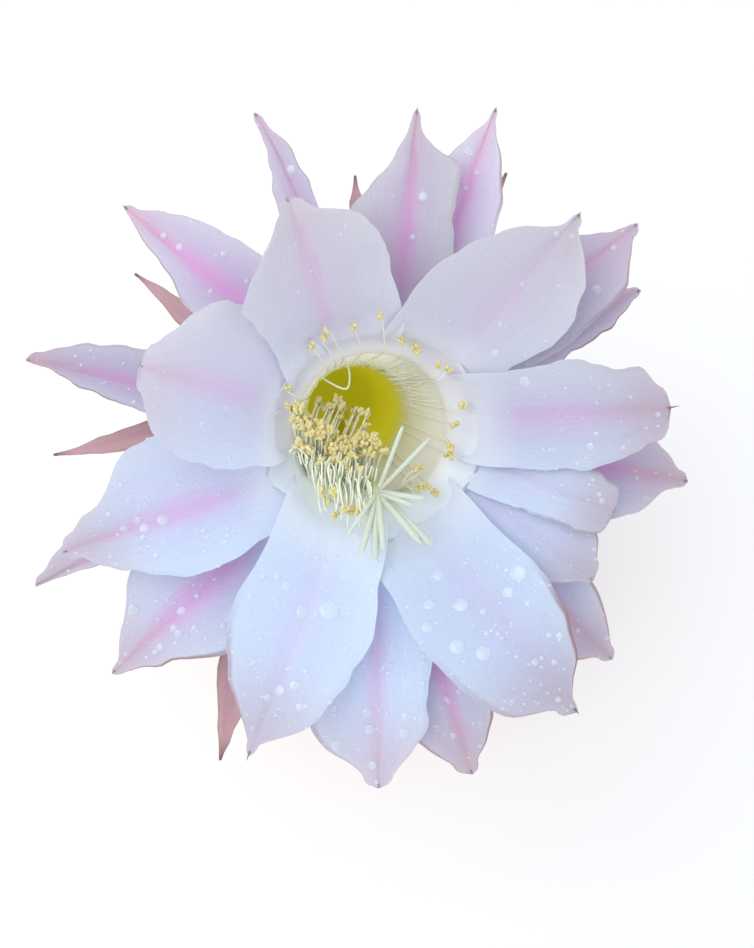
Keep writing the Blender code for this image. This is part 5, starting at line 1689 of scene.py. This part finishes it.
draw = random.Random(11)
filaments, anthers = [], []
for right, up, forward in RING_ANTHERS:
    bearing = math.atan2(up, right)
    tip = face_point(right, up, forward)
    strand = []
    for i in range(10):
        depth = RING_FOOT * (1 - i / 9)
        strand.append((mouth_point(tube_inside(depth) - 0.3 * MM, bearing, depth), 0.7))
    rim = strand[-1][0]
    bend = mouth_point(tube_inside(0) * 0.97, bearing, -4 * MM)
    for i in range(1, 9):
        s = i / 8
        strand.append((rim.lerp(bend, s).lerp(bend.lerp(tip, s), s), 0.6))
    filaments.append(strand)
    for _ in range(draw.choice((1, 1, 2))):
        near = Vector((draw.uniform(-1, 1), draw.uniform(-1, 1), draw.uniform(0, 0.6))) * 0.7 * MM
        anthers += anther(tip + near, (tip - bend).normalized(), draw, 0.9)
for label, row in STAMEN_GROUPS.items():
    for i in range(row["count"]):
        share = (i + 0.5) / row["count"]
        foot = stamen_foot(math.radians(mix(*row["bearings"], share)), mix(*row["depths"], share) * MM)
        up = mix(*row["up"], share) + draw.uniform(-row["spread"], row["spread"])
        forward = mix(*row["forward"], share) + draw.uniform(-1.5, 1.5)
        tip = face_point(mix(*row["right"], share) + draw.uniform(-1, 1), up, forward)
        bend = foot.lerp(tip, 0.4) + FACING * 3 * MM
        if label == "hanging":
            bend = tip + (UP * 11 + FACING * 4) * MM
        filaments.append(filament(foot, bend, tip, draw, row["curl"]))
        if draw.random() < row["pollen"]:
            anthers += anther(tip, (tip - bend).normalized(), draw, draw.uniform(0.85, 1.2))
loop_path = [face_point(*spot) for spot in LOOP_SPOTS]
loop = [(loop_path[0], LOOP_THICKNESS)]
for i in range(1, len(loop_path)):
    before, start, end = loop_path[max(0, i - 2)], loop_path[i - 1], loop_path[i]
    after = loop_path[min(len(loop_path) - 1, i + 1)]
    bow = (start, start + (end - before) / 6, end - (after - start) / 6, end)
    loop += [(bezier(bow, step / 4), LOOP_THICKNESS) for step in range(1, 5)]
filaments.append(loop)
fringe = []
for i in range(FRINGE_COUNT):
    bearing = math.radians(draw.triangular(*FRINGE_BEARINGS, FRINGE_THICKEST))
    start, end = draw.uniform(*FRINGE_FEET), draw.uniform(*FRINGE_ENDS)
    drift = math.radians(draw.uniform(-7, 7))
    strand = []
    for step in range(9):
        s = step / 8
        depth = mix(start, end, s) * MM
        stand = (0.22 + 0.35 * math.sin(math.pi * s)) * MM
        strand.append((mouth_point(tube_inside(depth) - stand, bearing + drift * s, depth), mix(1, 0.6, s)))
    fringe.append(strand)
filament_piece = strung("filaments", filaments, FILAMENT_RADIUS, 6, filament_finish())
fringe_piece = strung("fringe", fringe, FRINGE_RADIUS, 4, fringe_finish())
anther_piece = strung("anthers", anthers, ANTHER_RADIUS, 7, pollen_finish())
for piece in (filament_piece, fringe_piece, anther_piece):
    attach(piece, "root")
    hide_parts("stamens")


# Pistil: the pale green style that rises through the tube and leans out over the lower lip, where its
# stigma parts into slender, slightly velvety cream lobes.
STYLE_RADIUS = 1.2 * MM
LOBE_RADIUS = 0.85 * MM
LOBE_ARCH = 1.4 * MM
STIGMA = (1.2, -13, 9)  # where the style ends: right, up and forward, in millimetres
STYLE_FROM = 3.15 / 9  # where it leaves the ovary, as a share of the tube's path
THROAT_BEND = (7.5 * MM, math.radians(262), 9 * MM)
# How far each lobe reaches from the style's end, in millimetres (right, up, forward), and how thick it is
STIGMA_LOBES = (
    (5.0, 13.2, 3.0, 0.6),
    (10.3, 10.7, 3.0, 0.6),
    (9.2, -1.2, 5.0, 0.75),
    (7.0, -2.6, 4.0, 0.7),
    (10.9, -10.6, 1.5, 1.1),
    (8.6, -10.2, 2.4, 1.0),
    (-0.6, -13.6, 1.0, 1.1),
    (-3.4, -12.4, 2.0, 0.9),
    (1.2, -11.5, 3.0, 0.9),
    (-6.0, -8.5, 4.0, 0.6),
)
stigma_end = face_point(*STIGMA)
style = [(bezier(tube_path, mix(STYLE_FROM, 1, i / 24)), 1.0) for i in range(25)]
throat_bend = mouth_point(*THROAT_BEND)
for i in range(1, 9):
    s = i / 8
    style.append((tube_end.lerp(throat_bend, s).lerp(throat_bend.lerp(stigma_end, s), s), mix(1.0, 0.85, s)))
lobes = []
for reach in STIGMA_LOBES:
    tip = stigma_end + (RIGHT * reach[0] + UP * reach[1] + FACING * reach[2]) * MM
    strand = []
    for i in range(12):
        s = i / 11
        arch = FACING * math.sin(math.pi * s) * LOBE_ARCH
        thickness = reach[3] * mix(1, 0.85, s) * (1 - 0.5 * smooth((s - 0.92) * 12))
        strand.append(((stigma_end - FACING * 0.8 * MM).lerp(tip, s) + arch, thickness))
    lobes.append(strand)


LOBE_GREEN = (0.55, 0.60, 0.43)
LOBE_CREAM = (0.58, 0.65, 0.56)
LOBE_FUZZ = (0.70, 0.75, 0.66)


def stigma_finish():
    """Slightly velvety, green at the lobes' feet and creamier at their tips."""
    velvet = Finish(
        "stigma", 0.6, Subsurface_Weight=0.4, Subsurface_Radius=(1, 1, 0.9), Subsurface_Scale=0.8 * MM,
        Sheen_Weight=0.2,
    )
    fuzz = velvet.grain(velvet.place(), 1600, 3)
    along = velvet.span(velvet.carried("along"), 0.0, 0.7)
    colour = velvet.dyed(LOBE_GREEN, LOBE_CREAM, along)
    colour = velvet.dyed(colour, LOBE_FUZZ, velvet.span(fuzz, 0.45, 0.7, 0, 0.35))
    velvet.wear(colour, (fuzz, 0.5, 0.7), (fuzz, 0.12 * MM))
    return velvet.material


STYLE_OLIVE = (0.66, 0.61, 0.06)
STYLE_GREEN = (0.50, 0.52, 0.30)
STYLE_SHADE = (0.60, 0.57, 0.10)


def style_finish():
    """Olive deep in the tube, and green where it comes out."""
    stalk = Finish("style_green", 0.5)
    shade = stalk.grain(stalk.place(), 300)
    colour = stalk.dyed(STYLE_OLIVE, STYLE_GREEN, stalk.span(stalk.carried("along"), 0.8, 0.97))
    colour = stalk.dyed(colour, STYLE_SHADE, stalk.span(shade, 0.4, 0.7, 0, 0.4))
    stalk.wear(colour, None, (shade, 0.05 * MM))
    return stalk.material


style_piece = strung("style", [style], STYLE_RADIUS, 16, style_finish())
lobe_piece = strung("stigma_lobes", lobes, LOBE_RADIUS, 10, stigma_finish())
for piece in (style_piece, lobe_piece):
    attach(piece, "root")
    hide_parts("pistil")


# Dew: clear drops of rain that sit on the petals, flattened where they touch. The large ones lie where they
# were seen, and small ones are strewn over every blade.
DEW_COUNT = 2300
DEW_RADIUS = 0.42 * MM
DEW_FIELD = ((-70, 66), (-74, 66))  # how far it is strewn to the right and up, in millimetres
DEW_CLEAR = 26  # no dew nearer the bloom's middle than this
DROP_FLATNESS = 0.3
DROP_FINENESS = 4
DEW_FINENESS = 2
WATER_IOR = 1.33
SKY_PAINT_SHARE = 0.36  # how much of a drop is painted pale as a reflection of the sky, over its plain gloss, and the most of both
WATER_MOST = 0.5
# The larger drops: where each is seen (right, up) and its radius, in millimetres
DROPS = (
    (-8.7, -37.1, 2.2), (-14.2, -37.5, 1.5), (-17.5, -32.2, 1.1), (30.1, -29.5, 1.8), (28.0, -33.4, 1.3),
    (17.5, -44.7, 1.65), (22.9, -46.0, 1.65), (13.6, -29.9, 1.1), (11.8, -35.9, 1.2), (11.4, -40.6, 1.3),
    (18.4, -36.1, 1.5), (22.9, -37.3, 0.8), (38.6, -42.3, 0.7), (32.0, -35.7, 0.6), (4.3, -44.9, 0.7),
    (2.1, -49.1, 0.8), (7.0, -59.0, 0.9), (6.6, -62.5, 1.1), (-1.0, -58.2, 1.1), (-0.4, -61.6, 1.1),
    (0.0, -69.1, 1.0), (16.7, -62.9, 0.7), (15.7, -55.7, 0.6), (33.6, -47.8, 0.8), (37.5, -47.8, 0.6),
    (-49.1, -37.1, 1.2), (-39.2, -37.1, 1.1), (-40.8, -40.8, 0.8), (-39.8, -41.9, 0.9), (-36.5, -40.8, 0.7),
    (-36.1, -34.0, 0.7), (-43.7, -44.7, 0.8), (-43.1, -18.4, 1.2), (-46.8, -20.2, 1.1), (-48.2, -18.6, 0.7),
    (-51.1, -20.4, 0.8), (-44.5, -25.8, 0.6), (-19.0, -53.6, 1.1), (-15.9, -52.6, 1.1), (-21.4, -55.1, 0.9),
    (-14.8, -57.1, 0.9), (-8.0, -57.3, 0.8), (-7.2, -64.9, 1.1), (-16.7, 53.6, 1.0), (20.0, 57.3, 1.0),
    (21.4, 53.0, 0.7), (19.4, 49.7, 0.7), (10.5, 48.0, 1.0), (25.4, 15.7, 0.9), (31.3, 13.2, 0.8),
    (31.5, 9.9, 1.2), (46.2, 28.9, 1.0), (49.7, 37.5, 0.6), (-42.9, 40.0, 0.7), (-39.6, 37.6, 0.8),
    (-50.0, 20.2, 0.9), (-54.2, 22.6, 0.7), (-30.5, 36.2, 0.7), (44.9, -3.4, 0.8), (48.4, -22.1, 0.7),
)


def dew_tree():
    """Sets flattened drops on points that carry the way they face and their size."""
    tree, given, out = geometry_tree("dew", {"Flatness": "Float", "Fineness": "Int", "Finish": "Material"})
    named = "GeometryNodeInputNamedAttribute"
    facing = add(tree, named, {"Name": "facing"}, data_type="FLOAT_VECTOR").outputs[0]
    size = add(tree, named, {"Name": "size"}).outputs[0]
    turn = add(tree, "FunctionNodeAlignRotationToVector", {"Vector": facing}, axis="Z").outputs[0]
    ball = {"Radius": 1.0, "Subdivisions": given["Fineness"]}
    drop = add(tree, "GeometryNodeMeshIcoSphere", ball).outputs[0]
    flat = add(tree, "ShaderNodeCombineXYZ", {0: 1.0, 1: 1.0, 2: given["Flatness"]}).outputs[0]
    shaped = add(tree, "GeometryNodeTransform", {"Geometry": drop, "Scale": flat}).outputs[0]
    points = add(tree, "GeometryNodeMeshToPoints", {"Mesh": given["Geometry"]}).outputs[0]
    setting = {"Points": points, "Instance": shaped, "Rotation": turn, "Scale": size}
    placed = add(tree, "GeometryNodeInstanceOnPoints", setting).outputs[0]
    real = add(tree, "GeometryNodeRealizeInstances", {0: placed}).outputs[0]
    soft = add(tree, "GeometryNodeSetShadeSmooth", {"Geometry": real}).outputs[0]
    painted = add(tree, "GeometryNodeSetMaterial", {"Geometry": soft, "Material": given["Finish"]}).outputs[0]
    tree.links.new(painted, out.inputs[0])
    return tree


PAINTED_SKY_BLUE = (0.84, 0.95, 1.0)
PAINTED_SKY_PALE = (0.88, 0.97, 1.0)


def water_finish():
    """Clear water, with a pale coat painted over it as a reflection of the sky."""
    water = Finish("water", 0.1, Specular_IOR_Level=1.0)
    ripple = water.grain(water.place(), 300)
    water.wear(water.dyed(PAINTED_SKY_BLUE, PAINTED_SKY_PALE, ripple), (ripple, 0.08, 0.16))
    gloss = add(water.tree, "ShaderNodeFresnel", {"IOR": WATER_IOR}).outputs[0]
    # The pale part of each drop is a painted reflection of the sky, strongest towards its rim.
    share = water.sum_of("MINIMUM", water.sum_of("ADD", gloss, SKY_PAINT_SHARE), WATER_MOST)
    clear = add(water.tree, "ShaderNodeBsdfTransparent").outputs[0]
    skins = {0: share, 1: clear, 2: water.shader.outputs[0]}
    mixed = add(water.tree, "ShaderNodeMixShader", skins).outputs[0]
    water.tree.links.new(mixed, water.tree.nodes["Material Output"].inputs["Surface"])
    return water.material


surfaces = [surface_of(piece) for piece in (inner_blades, outer_blades)]


def seen_at(right, up):
    """Where the eye's line through that spot of the face's plane first meets a petal, and its normal."""
    way = (BLOOM_CENTRE + (RIGHT * right + UP * up) * MM - EYE).normalized()
    found = [tree.ray_cast(EYE, way) for tree in surfaces]
    found = [hit for hit in found if hit[0] is not None]
    if not found:
        return None
    place, normal, _, _ = min(found, key=lambda hit: hit[3])
    return place, (normal if normal.dot(FACING) > 0 else -normal)


def laid(name, drops, fineness):
    """Drops of water where they are listed, as (place, the way it faces, radius)."""
    points = bpy.data.meshes.new(f"{name}_points")
    points.from_pydata([place for place, _, _ in drops], [], [])
    facings = points.attributes.new("facing", "FLOAT_VECTOR", "POINT")
    facings.data.foreach_set("vector", [number for _, normal, _ in drops for number in normal])
    points.attributes.new("size", "FLOAT", "POINT").data.foreach_set("value", [size for _, _, size in drops])
    source = stood(f"{name}_points", points)
    piece = grown(name, source, wetting, flatness=DROP_FLATNESS, fineness=fineness, finish=water)
    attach(piece, "root")


wetting = dew_tree()
water = water_finish()
large = [(seen_at(right, up), radius) for right, up, radius in DROPS]
laid("drops", [(*hit, radius * MM) for hit, radius in large if hit], DROP_FINENESS)
draw = random.Random(19)
small = []
for i in range(DEW_COUNT):
    right, up = draw.uniform(*DEW_FIELD[0]), draw.uniform(*DEW_FIELD[1])
    hit = seen_at(right, up)
    low = smooth((25 - up) / 70)
    if hit and math.hypot(right, up) > DEW_CLEAR and draw.random() < mix(0.1, 0.85, low):
        small.append((*hit, DEW_RADIUS * draw.uniform(0.6, 1.0) ** 1.5 * draw.choice((1, 1, 1, 1.6))))
laid("dew", small, DEW_FINENESS)
